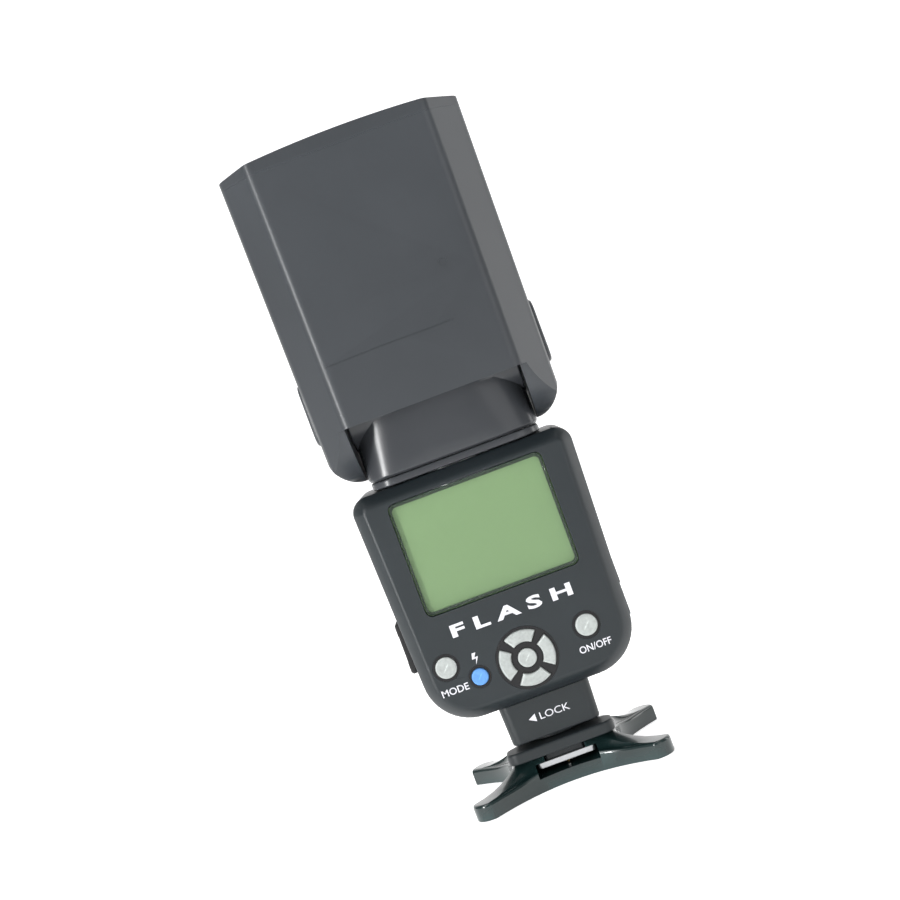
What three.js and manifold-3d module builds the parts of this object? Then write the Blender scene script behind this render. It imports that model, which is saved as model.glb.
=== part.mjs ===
// Speedlight flash standing in its mini stand, in millimetres, +Z up.
// The display faces -Y and the head stands straight up, so the light leaves upwards at rest.
// The origin is on the floor, below the middle of the stand.

import * as THREE from "three";
import { mergeVertices } from "three/addons/utils/BufferGeometryUtils.js";
import Module from "manifold-3d";

const wasm = await Module();
wasm.setup();

// ---------------------------------------------------------------- driving dimensions

const TOUCH = 0.3; // gap kept where two fixed pieces meet
const BEYOND = 60; // reach of a cutter that runs out of the piece it cuts
const WALL = 2.2; // moulded wall thickness of the housings

const STAND = {
  tipX: 26.6, // centres of the four rounded leg tips
  tipY: 24.5,
  tipRadius: 5.2,
  thickness: 5.4,
  channelFloor: 4.2,
  socketHalfWidth: 17.3,
  socketFront: -15,
  socketBack: 15,
  lipTop: 10,
  lipBottom: 8.2,
  channelHalfWidth: 9.95,
  throatHalfWidth: 6.6,
  insertRadius: 4.6,
  insertDepth: 3.1,
};

// Accessory shoe plate to ISO 518, 18.6 wide and 2 thick.
const SHOE = { halfWidth: 9.3, halfLength: 14, bottom: 5.9, top: 7.9, neckHalfWidth: 6.15, lockY: -7.5 };
const PINS = {
  bottom: 4.9,
  contactTop: 13,
  contactRadius: 1.25,
  lockTop: 12.7,
  lockRadius: 0.95,
  play: 0.35, // gap round each pin
};

const FOOT = {
  baseBottom: 10.4,
  baseTop: 13.9,
  baseWidth: 34.6,
  baseDepth: 36,
  lipDepth: 11, // depth of the wide lip on the display side; the rest of the base is slimmer
  heelWidth: 27.6,
  blockWidth: 29.4,
  blockDepth: 30,
  narrowing: 0.034, // the block is this much slimmer at its lower end
};

const LEVER = { bottom: 14.2, top: 15, radius: 12, tabReach: 22.5, tabWidth: 8, tabHeight: 3.2 };

const BODY = {
  halfWidth: 35.5, // at the top
  halfBottom: 33.6, // the sides lean in by this much towards the foot
  bottom: 28.3,
  top: 104,
  back: -21, // face with the display
  front: 23,
  split: 1, // plane where the two covers meet
  topRadius: 5,
  bottomRadius: 15,
  bevelSides: 3.6,
  bevelEnds: 2.4,
  bevelDepth: 4,
};

const DISPLAY = {
  centreZ: 81,
  windowWidth: 49.2,
  windowHeight: 36.1,
  windowThickness: 1.2,
  sunk: 0.4,
  panelWidth: 54,
  panelHeight: 35.8,
  panelThickness: 1.8,
};
const FRONT_WINDOW = { width: 40, height: 24, radius: 4, centreZ: 78, thickness: 1.6, sunk: 0.2 };
const SLAVE_EYE = { halfWidth: 4, depth: 2.4, behind: 2.6, bottom: 74, top: 84 };

const KEY = { proud: 0.8, flange: 0.8, flangeThickness: 0.8, clearance: 0.35, travel: 0.5 };
const ROUND_KEYS = [
  { name: "mode_key", x: -24.8, z: 46.8, radius: 3.3 },
  { name: "pilot_key", x: -16, z: 40.7, radius: 2.6 },
  { name: "power_key", x: 19.8, z: 44.4, radius: 3.4 },
  { name: "set_key", x: -0.5, z: 41.2, radius: 2.9 },
];
const PAD = { x: -0.5, z: 41.2, inner: 4.9, outer: 8.8, halfAngle: 35 };
const PAD_KEYS = [
  { name: "right_key", angle: 0 },
  { name: "up_key", angle: 90 },
  { name: "left_key", angle: 180 },
  { name: "down_key", angle: 270 },
];

// Parts behind the display, each as the room it takes.
const KEY_MAT = { width: 58, height: 24, centreZ: 45, back: -17.1, front: -16.7 };
const BOARD = { width: 62, height: 65, centreZ: 65.5, back: -16.4, front: -15 };
const CAPACITOR = { left: -24, right: 26, radius: 10.5, y: 3, z: 84.5 };
const TRANSFORMER = { left: -32, right: -21.5, back: -12, front: 0, bottom: 62, top: 74 };
const SOCKET = { radius: 3, bore: 1.3, boreDepth: 5.5, length: 5.3, inset: 1.2 };

const BAY = { left: -19.9, right: 30.8, back: -13.4, front: 16, bottom: 42.2, top: 71.8, wall: 1.2 };
const DOOR = {
  back: -15,
  front: 18.2, // the hinge line
  bottom: 41.5,
  top: 72.5,
  inner: 32.2,
  outer: 34,
  barrel: 1.5,
  pin: 0.75,
};
const LATCH = { size: 9, centreY: -8, centreZ: 56, sunk: 0.6, proud: 0.4, pocketDepth: 0.9, travel: 3 };
const CONTACT = { thickness: 0.7, margin: 1, doorBack: -12, doorFront: 15, doorMargin: 2 };
const SOCKET_COVER = { y: 2, z: 54.2, width: 12.4, height: 16.8, inner: 34.9, outer: 36.6 };

const SWIVEL = { hubRadius: 13, flangeRadius: 16, flangeBottom: 98.5, collarTop: 106.7 };
const NECK = { bottom: 107, halfWidth: 28, collarHalfWidth: 27.4, cornerRadius: 6, drumRadius: 17, pocketDepth: 3 };

const HINGE_Z = 133; // height of the tilt axle; the head is drawn about it
const HEAD = {
  panelHalfWidth: 27.8,
  halfWidth: 37.6,
  halfDepth: 27,
  sideHalfDepth: 15,
  flare: 0.00037, // growth of the cross-section per millimetre above the axle
  panelBottom: -7.5,
  earRadius: 25,
  earInner: 28.3,
  earRoundX: 9.8,
  earRoundZ: 14,
  notchRadius: 18.5,
  floor: 20.5,
  shellTop: 73,
  rimCorner: 76,
  rimMiddle: 78,
};
const AXLE = { radius: 3, halfLength: 33.5, boreHalfLength: 34.2, clickRadius: 10 };
const EAR_PART = { inner: 35.4, outer: 38.9, halfDepth: 8.5, bottom: -9.9, top: 10.5 };
const EAR_ROOM = { inner: 29.9, outer: 35.8, halfDepth: 12, bottom: 3 };
const LENS = { halfWidth: 32.7, halfDepth: 19.5, bottom: 73.3, top: 75.2 };
const CARD_ROOM = { halfWidth: 26, back: -24.6 }; // room behind the notch that the sliding panels use
const CARD = { back: -24.4, front: -23.6, halfWidth: 25, bottom: 33, top: 77 };
const WIDE = { back: -23.2, front: -22, halfWidth: 25.5, bottom: 31, top: 77 };
const REFLECTOR = { halfWidth: 30, halfDepth: 18, apex: 44, mouth: 62, wall: 1 };
const TUBE = { radius: 2.2, hole: 2.6, aboveApex: 6, proud: 0.8 };
const CARRIAGE = { bottom: 41, top: 43.6, halfWidth: 31, halfDepth: 14 };
const RAIL = { x: 33.2, bottom: 20.8, top: 72, radius: 1.2, hole: 1.6 };
const MOTOR = { radius: 2.6, bottom: 11.5, inset: 0.3 };

// ---------------------------------------------------------------- materials

function material(colour, roughness, metalness = 0) {
  return new THREE.MeshStandardMaterial({ color: colour, roughness, metalness });
}

const headPlastic = material(0x3c3e40, 0.6);
const bodyPlastic = material(0x24282b, 0.5);
const standPlastic = material(0x10201f, 0.25);
const keyGrey = material(0xa9adab, 0.5);
const keyBlue = material(0x3f74c8, 0.4);
const clearPlastic = material(0xdfe8ea, 0.1);
const displayGreen = material(0x7fa072, 0.4);
const boardGreen = material(0x1d5a34, 0.5);
const rubber = material(0x17181a, 0.85);
const steel = material(0xb8bbbd, 0.35, 1);
const brass = material(0xb89043, 0.35, 1);
const mirrorSilver = material(0xe6e6e8, 0.12, 1);
const whitePlastic = material(0xe9e9e4, 0.5);
const redPlastic = material(0x4a0b0e, 0.15);
const sleeveBlack = material(0x15161a, 0.3);
const ferrite = material(0x3a3632, 0.7);

// ---------------------------------------------------------------- solids

// Turns a closed geometry into a solid that can be joined and cut.
function solidOf(geometry) {
  const bare = geometry.clone();
  bare.deleteAttribute("normal");
  bare.deleteAttribute("uv");
  const merged = mergeVertices(bare, 1e-4);
  return new wasm.Manifold(
    new wasm.Mesh({
      numProp: 3,
      vertProperties: new Float32Array(merged.attributes.position.array),
      triVerts: new Uint32Array(merged.index.array),
    })
  );
}

function geometryOf(solid) {
  const mesh = solid.getMesh();
  const geometry = new THREE.BufferGeometry();
  geometry.setAttribute("position", new THREE.BufferAttribute(new Float32Array(mesh.vertProperties), 3));
  geometry.setIndex(new THREE.BufferAttribute(new Uint32Array(mesh.triVerts), 1));
  geometry.computeVertexNormals();
  return geometry;
}

function cut(solid, ...cutters) {
  return cutters.reduce((rest, cutter) => rest.subtract(cutter), solid);
}

function join(...solids) {
  return solids.reduce((whole, next) => whole.add(next));
}

function box([x0, x1], [y0, y1], [z0, z1]) {
  const geometry = new THREE.BoxGeometry(x1 - x0, y1 - y0, z1 - z0);
  geometry.translate((x0 + x1) / 2, (y0 + y1) / 2, (z0 + z1) / 2);
  return solidOf(geometry);
}

// A round bar along "x", "y" or "z", from start to end, about the other two coordinates in plain order.
function bar(axis, radius, [start, end], [a, b], sides = 24) {
  const geometry = new THREE.CylinderGeometry(radius, radius, end - start, sides);
  const middle = (start + end) / 2;
  if (axis === "x") {
    geometry.rotateZ(-Math.PI / 2);
    geometry.translate(middle, a, b);
  } else if (axis === "y") {
    geometry.translate(a, middle, b);
  } else {
    geometry.rotateX(Math.PI / 2);
    geometry.translate(a, b, middle);
  }
  return solidOf(geometry);
}

function extruded(shape, length, curveSegments) {
  return new THREE.ExtrudeGeometry(shape, { depth: length, bevelEnabled: false, curveSegments });
}

// Outline in X and Y, pulled along Z.
function prismZ(shape, [z0, z1], curveSegments = 6) {
  const geometry = extruded(shape, z1 - z0, curveSegments);
  geometry.translate(0, 0, z0);
  return solidOf(geometry);
}

// Outline in X and Z, pulled along Y.
function prismY(shape, [y0, y1], curveSegments = 6) {
  const geometry = extruded(shape, y1 - y0, curveSegments);
  geometry.rotateX(Math.PI / 2);
  geometry.translate(0, y1, 0);
  return solidOf(geometry);
}

// Outline in Y and Z, pulled along X.
function prismX(shape, [x0, x1], curveSegments = 6) {
  const geometry = extruded(shape, x1 - x0, curveSegments);
  const turn = new THREE.Matrix4().makeBasis(
    new THREE.Vector3(0, 1, 0),
    new THREE.Vector3(0, 0, 1),
    new THREE.Vector3(1, 0, 0)
  );
  geometry.applyMatrix4(turn);
  geometry.translate(x0, 0, 0);
  return solidOf(geometry);
}

function roundedRect(width, height, radius, centreX = 0, centreY = 0) {
  const right = centreX + width / 2 - radius;
  const left = centreX - width / 2 + radius;
  const top = centreY + height / 2 - radius;
  const bottom = centreY - height / 2 + radius;
  const shape = new THREE.Shape();
  shape.absarc(right, bottom, radius, -Math.PI / 2, 0);
  shape.absarc(right, top, radius, 0, Math.PI / 2);
  shape.absarc(left, top, radius, Math.PI / 2, Math.PI);
  shape.absarc(left, bottom, radius, Math.PI, 1.5 * Math.PI);
  return shape;
}

// A body turned about Z from a closed profile of radius and height.
function turned(profile, sides = 32) {
  const points = profile.map(([radius, height]) => new THREE.Vector2(radius, height));
  const geometry = new THREE.LatheGeometry(points, sides);
  geometry.rotateX(Math.PI / 2);
  return solidOf(geometry);
}

function add(group, name, solid, finish) {
  const mesh = new THREE.Mesh(geometryOf(solid), finish);
  mesh.name = name;
  group.add(mesh);
  return mesh;
}

const flash = new THREE.Group();

// ---------------------------------------------------------------- mini stand

// Four legs with round tips and hollowed sides.
function standOutline() {
  const { tipX, tipY, tipRadius } = STAND;
  const degrees = THREE.MathUtils.degToRad;
  const overlap = degrees(10); // how far each tip's arc runs past its quarter
  const tips = [
    { x: tipX, y: -tipY, start: -90, hollow: [3.5, 0] },
    { x: tipX, y: tipY, start: 0, hollow: [0, 5.4] },
    { x: -tipX, y: tipY, start: 90, hollow: [-3.5, 0] },
    { x: -tipX, y: -tipY, start: 180, hollow: [0, -5.4] },
  ];
  const shape = new THREE.Shape();
  tips.forEach((tip, index) => {
    const start = degrees(tip.start) - overlap;
    shape.absarc(tip.x, tip.y, tipRadius, start, degrees(tip.start + 90) + overlap);
    const next = tips[(index + 1) % tips.length];
    const nextStart = degrees(next.start) - overlap;
    shape.quadraticCurveTo(
      ...tip.hollow,
      next.x + tipRadius * Math.cos(nextStart),
      next.y + tipRadius * Math.sin(nextStart)
    );
  });
  return shape;
}

function makeStand() {
  const { socketHalfWidth, socketFront, socketBack, lipTop, lipBottom } = STAND;
  const { thickness, channelFloor, channelHalfWidth, throatHalfWidth, insertRadius, insertDepth } = STAND;
  const plate = prismZ(standOutline(), [0, thickness], 8);
  const socketDepth = socketBack - socketFront;
  const socket = prismZ(roundedRect(2 * socketHalfWidth, socketDepth, 2), [thickness - 1, lipTop], 3);
  const channelEnd = SHOE.halfLength + 0.5;
  const channel = box([-channelHalfWidth, channelHalfWidth], [-BEYOND, channelEnd], [channelFloor, lipBottom]);
  const throat = box([-throatHalfWidth, throatHalfWidth], [-BEYOND, channelEnd], [channelFloor, BEYOND]);
  const insertHole = bar("z", insertRadius + TOUCH, [-1, insertDepth + TOUCH], [0, 0]);
  add(flash, "mini_stand", cut(join(plate, socket), channel, throat, insertHole), standPlastic);

  const thread = 2.7;
  const chamfer = 0.4;
  const insert = turned([
    [thread, insertDepth],
    [thread, chamfer],
    [thread + chamfer, 0],
    [insertRadius, 0],
    [insertRadius, insertDepth],
    [thread, insertDepth],
  ]);
  add(flash, "tripod_insert", insert, brass);
}
makeStand();

// ---------------------------------------------------------------- foot

function makeFoot() {
  const { contactRadius, lockRadius, play } = PINS;
  const through = [0, FOOT.baseTop + 1];
  const contactHole = bar("z", contactRadius + play, through, [0, 0], 16);
  const lockHole = bar("z", lockRadius + play, through, [0, SHOE.lockY], 16);

  const { halfWidth, halfLength, bottom, top, neckHalfWidth } = SHOE;
  const plate = prismZ(roundedRect(2 * halfWidth, 2 * halfLength, 1), [bottom, top], 3);
  const neckLength = [1 - halfLength, halfLength - 1];
  const neck = box([-neckHalfWidth, neckHalfWidth], neckLength, [top - 0.5, FOOT.baseBottom - TOUCH]);
  add(flash, "shoe_plate", cut(join(plate, neck), contactHole, lockHole), steel);

  // The base is wide along its lip and slimmer behind it.
  const { baseWidth, baseDepth, lipDepth, heelWidth } = FOOT;
  const baseHeight = [FOOT.baseBottom, FOOT.baseTop];
  const lip = prismZ(roundedRect(baseWidth, lipDepth, 4, 0, (lipDepth - baseDepth) / 2), baseHeight, 5);
  const heel = prismZ(roundedRect(heelWidth, baseDepth - 1, 4, 0, 0.5), baseHeight, 5);
  add(flash, "foot_base", cut(join(lip, heel), contactHole, lockHole), bodyPlastic);

  const shank = bar("z", contactRadius, [PINS.bottom + 0.5, PINS.contactTop], [0, 0], 16);
  const nose = bar("z", contactRadius - TOUCH, [PINS.bottom, PINS.bottom + 1], [0, 0], 16);
  add(flash, "shoe_contact_pin", join(shank, nose), brass);
  add(flash, "lock_pin", bar("z", lockRadius, [PINS.bottom, PINS.lockTop], [0, SHOE.lockY], 16), steel);
}
makeFoot();

// The lever turns in the slot between the foot's base and its block. Its tab stands out on the light side.
function makeLockLever() {
  const { radius, tabReach, tabWidth, tabHeight } = LEVER;
  const disc = bar("z", radius, [LEVER.bottom, LEVER.top], [0, 0], 32);
  const arm = box([-tabWidth / 2, tabWidth / 2], [radius - 2, tabReach - 1], [LEVER.bottom, LEVER.top]);
  const tabPlan = roundedRect(tabWidth, 3, 1.4, 0, tabReach - 1.5);
  const tab = prismZ(tabPlan, [LEVER.bottom, LEVER.bottom + tabHeight], 3);
  add(flash, "lock_lever", join(disc, arm, tab), bodyPlastic);
}
makeLockLever();

function makeFootBlock() {
  const bottom = LEVER.top + TOUCH;
  const height = BODY.bottom - TOUCH - bottom;
  const block = extruded(roundedRect(FOOT.blockWidth, FOOT.blockDepth, 3), height, 4);
  const position = block.attributes.position;
  for (let index = 0; index < position.count; index += 1) {
    const narrow = position.getZ(index) < height / 2 ? 1 - FOOT.narrowing : 1;
    position.setX(index, position.getX(index) * narrow);
  }
  block.translate(0, 0, bottom);
  add(flash, "foot_block", solidOf(block), bodyPlastic);
}
makeFootBlock();

// ---------------------------------------------------------------- body covers

// Front view of the body: small corners at the top and large ones at the bottom.
function bodyOutline(inset) {
  const { halfWidth, halfBottom, bottom, top, topRadius, bottomRadius } = BODY;
  const sideTop = halfWidth - inset;
  const sideLow = halfBottom - inset;
  const low = bottom + inset;
  const high = top - inset;
  const small = Math.max(topRadius - inset, 1);
  const large = bottomRadius - inset;
  const shape = new THREE.Shape();
  shape.absarc(sideLow - large, low + large, large, -Math.PI / 2, 0);
  shape.absarc(sideTop - small, high - small, small, 0, Math.PI / 2);
  shape.absarc(-sideTop + small, high - small, small, Math.PI / 2, Math.PI);
  shape.absarc(-sideLow + large, low + large, large, Math.PI, 1.5 * Math.PI);
  return shape;
}

// A section across Y, bevelled at the back and the front. The hollow's bevel is smaller, which keeps the
// room that the keys need beside the edges.
function bevelledSection(halfSpan, fullBevel, inset) {
  const back = BODY.back + inset;
  const front = BODY.front - inset;
  const depth = BODY.bevelDepth;
  const bevel = fullBevel - 0.8 * inset;
  return [
    [halfSpan - bevel, back],
    [halfSpan, back + depth],
    [halfSpan, front - depth],
    [halfSpan - bevel, front],
    [-halfSpan + bevel, front],
    [-halfSpan, front - depth],
    [-halfSpan, back + depth],
    [-halfSpan + bevel, back],
  ];
}

// The body's full form, or the hollow inside it.
function bodyForm(inset) {
  const { halfWidth, bottom, top, bevelSides, bevelEnds } = BODY;
  const halfHeight = (top - bottom) / 2;
  const plan = bevelledSection(halfWidth - inset, bevelSides, inset);
  const side = bevelledSection(halfHeight - inset, bevelEnds, inset);
  const planShape = new THREE.Shape(plan.map(([x, y]) => new THREE.Vector2(x, y)));
  const sideShape = new THREE.Shape(side.map(([z, y]) => new THREE.Vector2(y, bottom + halfHeight + z)));
  return prismY(bodyOutline(inset), [-BEYOND, BEYOND])
    .intersect(prismZ(planShape, [0, 2 * BEYOND]))
    .intersect(prismX(sideShape, [-BEYOND, BEYOND]));
}

function padSegment(inner, outer, halfAngle, turn) {
  const degrees = THREE.MathUtils.degToRad;
  const shape = new THREE.Shape();
  shape.absarc(0, 0, outer, degrees(turn - halfAngle), degrees(turn + halfAngle), false);
  shape.absarc(0, 0, inner, degrees(turn + halfAngle), degrees(turn - halfAngle), true);
  return shape;
}

function makeCovers() {
  const { back, front, split, halfWidth, top } = BODY;
  const shell = cut(bodyForm(0), bodyForm(WALL));
  const hubHole = bar("z", SWIVEL.hubRadius + 0.4, [SWIVEL.flangeBottom, top + 1], [0, 0], 40);
  const doorHole = box(
    [BAY.right - 1, halfWidth + 5],
    [DOOR.back - 0.4, DOOR.front + DOOR.barrel + 0.4],
    [DOOR.bottom - 0.4, DOOR.top + 0.4]
  );
  const socketHole = bar("x", 3.4, [-halfWidth - 1, -halfWidth + 4], [SOCKET_COVER.y, SOCKET_COVER.z]);
  const bored = cut(shell, hubHole, doorHole, socketHole);

  const windowHole = prismY(
    roundedRect(DISPLAY.windowWidth + 0.7, DISPLAY.windowHeight + 0.7, 2.5, 0, DISPLAY.centreZ),
    [back - 1, back + WALL + 1],
    4
  );
  const roundHoles = ROUND_KEYS.map((key) =>
    bar("y", key.radius + KEY.clearance, [back - 1, back + WALL + 1], [key.x, key.z])
  );
  const padHoles = PAD_KEYS.map((key) => {
    const grow = KEY.clearance;
    const shape = padSegment(PAD.inner - grow, PAD.outer + grow, PAD.halfAngle + 2.5, key.angle);
    return prismY(shape, [back - 1, back + WALL + 1], 4).translate([PAD.x, 0, PAD.z]);
  });
  const rearHalf = box([-BEYOND, BEYOND], [-BEYOND, split - TOUCH / 2], [0, 2 * BEYOND]);
  const rearShell = cut(bored.intersect(rearHalf), windowHole, ...roundHoles, ...padHoles);
  add(flash, "rear_cover", rearShell, bodyPlastic);

  const { width, height, radius, centreZ, thickness, sunk } = FRONT_WINDOW;
  const redWindow = roundedRect(width, height, radius, 0, centreZ);
  const redOpening = roundedRect(width + 2 * TOUCH, height + 2 * TOUCH, radius + TOUCH, 0, centreZ);
  const redHole = prismY(redOpening, [front - WALL - 1, front + 1], 4);
  const frontHalf = box([-BEYOND, BEYOND], [split + TOUCH / 2, BEYOND], [0, 2 * BEYOND]);
  add(flash, "front_cover", cut(bored.intersect(frontHalf), redHole), bodyPlastic);
  const windowDepth = [front - sunk - thickness, front - sunk];
  add(flash, "front_window", prismY(redWindow, windowDepth, 4), redPlastic);
  const eyeFront = front - SLAVE_EYE.behind;
  const eyeWidth = [-SLAVE_EYE.halfWidth, SLAVE_EYE.halfWidth];
  const eye = box(eyeWidth, [eyeFront - SLAVE_EYE.depth, eyeFront], [SLAVE_EYE.bottom, SLAVE_EYE.top]);
  add(flash, "slave_sensor", eye, sleeveBlack);
}
makeCovers();

// ---------------------------------------------------------------- display, keys and electronics

function makeDisplay() {
  const { centreZ, windowWidth, windowHeight, windowThickness, panelThickness } = DISPLAY;
  const windowBack = BODY.back + DISPLAY.sunk;
  const glass = roundedRect(windowWidth, windowHeight, 2.2, 0, centreZ);
  add(flash, "display_window", prismY(glass, [windowBack, windowBack + windowThickness], 4), clearPlastic);
  const panelBack = BODY.back + WALL + 0.2;
  const panel = roundedRect(DISPLAY.panelWidth, DISPLAY.panelHeight, 1, 0, centreZ - 0.4);
  add(flash, "display_panel", prismY(panel, [panelBack, panelBack + panelThickness], 2), displayGreen);
}
makeDisplay();

function makeKeys() {
  const { back } = BODY;
  const flangeBack = back + WALL + 0.2;
  const flangeFront = flangeBack + KEY.flangeThickness;
  for (const key of ROUND_KEYS) {
    const cap = join(
      bar("y", key.radius, [back - KEY.proud, flangeBack + 0.2], [0, 0]),
      bar("y", key.radius + KEY.flange, [flangeBack, flangeFront], [0, 0])
    );
    const finish = key.name === "pilot_key" ? keyBlue : keyGrey;
    const mesh = add(flash, key.name, cap, finish);
    mesh.position.set(key.x, 0, key.z);
  }
  for (const key of PAD_KEYS) {
    const capPlan = padSegment(PAD.inner, PAD.outer, PAD.halfAngle, key.angle);
    const flangePlan = padSegment(PAD.inner - 0.3, PAD.outer + 0.6, PAD.halfAngle + 4, key.angle);
    const cap = prismY(capPlan, [back - KEY.proud, flangeBack + 0.2], 4);
    const flange = prismY(flangePlan, [flangeBack, flangeFront], 4);
    const mesh = add(flash, key.name, join(cap, flange), keyGrey);
    mesh.position.set(PAD.x, 0, PAD.z);
  }
}
makeKeys();

function makeElectronics() {
  const mat = roundedRect(KEY_MAT.width, KEY_MAT.height, 11, 0, KEY_MAT.centreZ);
  add(flash, "key_mat", prismY(mat, [KEY_MAT.back, KEY_MAT.front], 4), rubber);
  const board = roundedRect(BOARD.width, BOARD.height, 12, 0, BOARD.centreZ);
  add(flash, "main_board", prismY(board, [BOARD.back, BOARD.front], 4), boardGreen);
  const canLength = [CAPACITOR.left, CAPACITOR.right];
  const can = bar("x", CAPACITOR.radius, canLength, [CAPACITOR.y, CAPACITOR.z], 28);
  add(flash, "flash_capacitor", can, sleeveBlack);
  const core = box(
    [TRANSFORMER.left, TRANSFORMER.right],
    [TRANSFORMER.back, TRANSFORMER.front],
    [TRANSFORMER.bottom, TRANSFORMER.top]
  );
  add(flash, "transformer", core, ferrite);
  const { y, z, width, height, inner, outer } = SOCKET_COVER;
  const socketOuter = SOCKET.inset - inner;
  const jack = cut(
    bar("x", SOCKET.radius, [socketOuter, socketOuter + SOCKET.length], [y, z]),
    bar("x", SOCKET.bore, [-inner - 1, -inner - 1 + SOCKET.boreDepth], [y, z], 12)
  );
  add(flash, "sync_socket", jack, steel);
  const coverPlate = prismX(roundedRect(width, height, 1.5, y, z), [-outer, -inner], 3);
  add(flash, "socket_cover", coverPlate, rubber);
}
makeElectronics();

// ---------------------------------------------------------------- battery bay

function makeBattery() {
  const { left, right, back, front, bottom, top, wall } = BAY;
  const outside = box([left - wall, right], [back - wall, front + wall], [bottom - wall, top + wall]);
  const inside = box([left, right + 1], [back, front], [bottom, top]);
  add(flash, "battery_tray", cut(outside, inside), bodyPlastic);
  const { margin } = CONTACT;
  const plateX = [left + TOUCH, left + TOUCH + CONTACT.thickness];
  const trayContact = box(plateX, [back + margin, front - margin], [bottom + margin, top - margin]);
  add(flash, "tray_contact_plate", trayContact, steel);

  const barrelY = DOOR.front;
  const barrelX = DOOR.inner + 0.5;
  const panel = box([DOOR.inner, DOOR.outer], [DOOR.back, barrelY], [DOOR.bottom, DOOR.top]);
  const barrel = bar("z", DOOR.barrel, [DOOR.bottom, DOOR.top], [barrelX, barrelY], 20);
  const bore = bar("z", DOOR.pin + TOUCH, [0, 2 * BEYOND], [barrelX, barrelY], 16);
  const halfPocket = LATCH.size / 2 + 0.5;
  const pocketWidth = [LATCH.centreY - halfPocket, LATCH.centreY + halfPocket + LATCH.travel + 0.5];
  const pocketHeight = [LATCH.centreZ - halfPocket, LATCH.centreZ + halfPocket];
  const latchPocket = box([DOOR.outer - LATCH.pocketDepth, DOOR.outer + 1], pocketWidth, pocketHeight);
  add(flash, "battery_door", cut(join(panel, barrel), bore, latchPocket), bodyPlastic);
  const latchOutline = roundedRect(LATCH.size, LATCH.size, 1.5, LATCH.centreY, LATCH.centreZ);
  const latch = prismX(latchOutline, [DOOR.outer - LATCH.sunk, DOOR.outer + LATCH.proud], 3);
  add(flash, "door_latch", latch, bodyPlastic);
  const pin = bar("z", DOOR.pin, [DOOR.bottom + 0.5, DOOR.top - 0.5], [barrelX, barrelY], 12);
  add(flash, "door_hinge_pin", pin, steel);
  const doorPlateX = [DOOR.inner - TOUCH - CONTACT.thickness, DOOR.inner - TOUCH];
  const doorPlateZ = [DOOR.bottom + CONTACT.doorMargin, DOOR.top - CONTACT.doorMargin];
  const doorContact = box(doorPlateX, [CONTACT.doorBack, CONTACT.doorFront], doorPlateZ);
  add(flash, "door_contact_plate", doorContact, steel);
}
makeBattery();

// ---------------------------------------------------------------- neck

function makeNeck() {
  const { hubRadius, flangeRadius, flangeBottom, collarTop } = SWIVEL;
  const collarBottom = BODY.top + 0.4;
  const hub = turned(
    [
      [5, flangeBottom],
      [flangeRadius, flangeBottom],
      [flangeRadius, flangeBottom + 2.9],
      [hubRadius, flangeBottom + 2.9],
      [hubRadius, collarBottom - TOUCH],
      [5, collarBottom - TOUCH],
      [5, flangeBottom],
    ],
    40
  );
  add(flash, "swivel_hub", hub, steel);
  const collarPlan = roundedRect(2 * NECK.collarHalfWidth, 35, 8);
  const collar = prismZ(collarPlan, [collarBottom, collarTop], 5);
  add(flash, "swivel_collar", collar, bodyPlastic);

  // The post runs straight up into a drum about the axle. A round pocket in each side holds a click disc.
  const postPlan = roundedRect(2 * NECK.halfWidth, 2 * NECK.drumRadius, NECK.cornerRadius);
  const post = prismZ(postPlan, [NECK.bottom, HINGE_Z], 5);
  const drum = bar("x", NECK.drumRadius, [-NECK.halfWidth, NECK.halfWidth], [0, HINGE_Z], 40);
  const bore = bar("x", AXLE.radius + TOUCH, [-BEYOND, BEYOND], [0, HINGE_Z]);
  const pocketFloor = NECK.halfWidth - NECK.pocketDepth;
  const pocketRadius = AXLE.clickRadius + TOUCH;
  const pocketRight = bar("x", pocketRadius, [pocketFloor, BEYOND], [0, HINGE_Z], 32);
  const pocketLeft = bar("x", pocketRadius, [-BEYOND, -pocketFloor], [0, HINGE_Z], 32);
  add(flash, "neck_block", cut(join(post, drum), bore, pocketRight, pocketLeft), headPlastic);
  add(flash, "tilt_axle", bar("x", AXLE.radius, [-AXLE.halfLength, AXLE.halfLength], [0, HINGE_Z]), steel);

  const disc = [pocketFloor + TOUCH, NECK.halfWidth];
  const clickDisc = cut(bar("x", AXLE.clickRadius, disc, [0, HINGE_Z], 32), bore);
  add(flash, "click_disc_right", clickDisc, steel);
  const mirrored = cut(bar("x", AXLE.clickRadius, [-disc[1], -disc[0]], [0, HINGE_Z], 32), bore);
  add(flash, "click_disc_left", mirrored, steel);
}
makeNeck();

// ---------------------------------------------------------------- head, drawn about the tilt axle

const head = new THREE.Group();
head.position.z = HINGE_Z;
flash.add(head);

// Plan of the head: a flat panel at back and front, sloping cheeks and straight sides.
function headPlan(inset) {
  const { panelHalfWidth, halfWidth, halfDepth, sideHalfDepth } = HEAD;
  const cheek = inset * 0.45; // keeps the wall even where the cheek meets a flat
  const points = [
    [panelHalfWidth - cheek, -halfDepth + inset],
    [halfWidth - inset, -sideHalfDepth + cheek],
    [halfWidth - inset, sideHalfDepth - cheek],
    [panelHalfWidth - cheek, halfDepth - inset],
  ];
  const mirrored = points.map(([x, y]) => [-x, y]).reverse();
  return new THREE.Shape([...points, ...mirrored].map(([x, y]) => new THREE.Vector2(x, y)));
}

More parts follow.
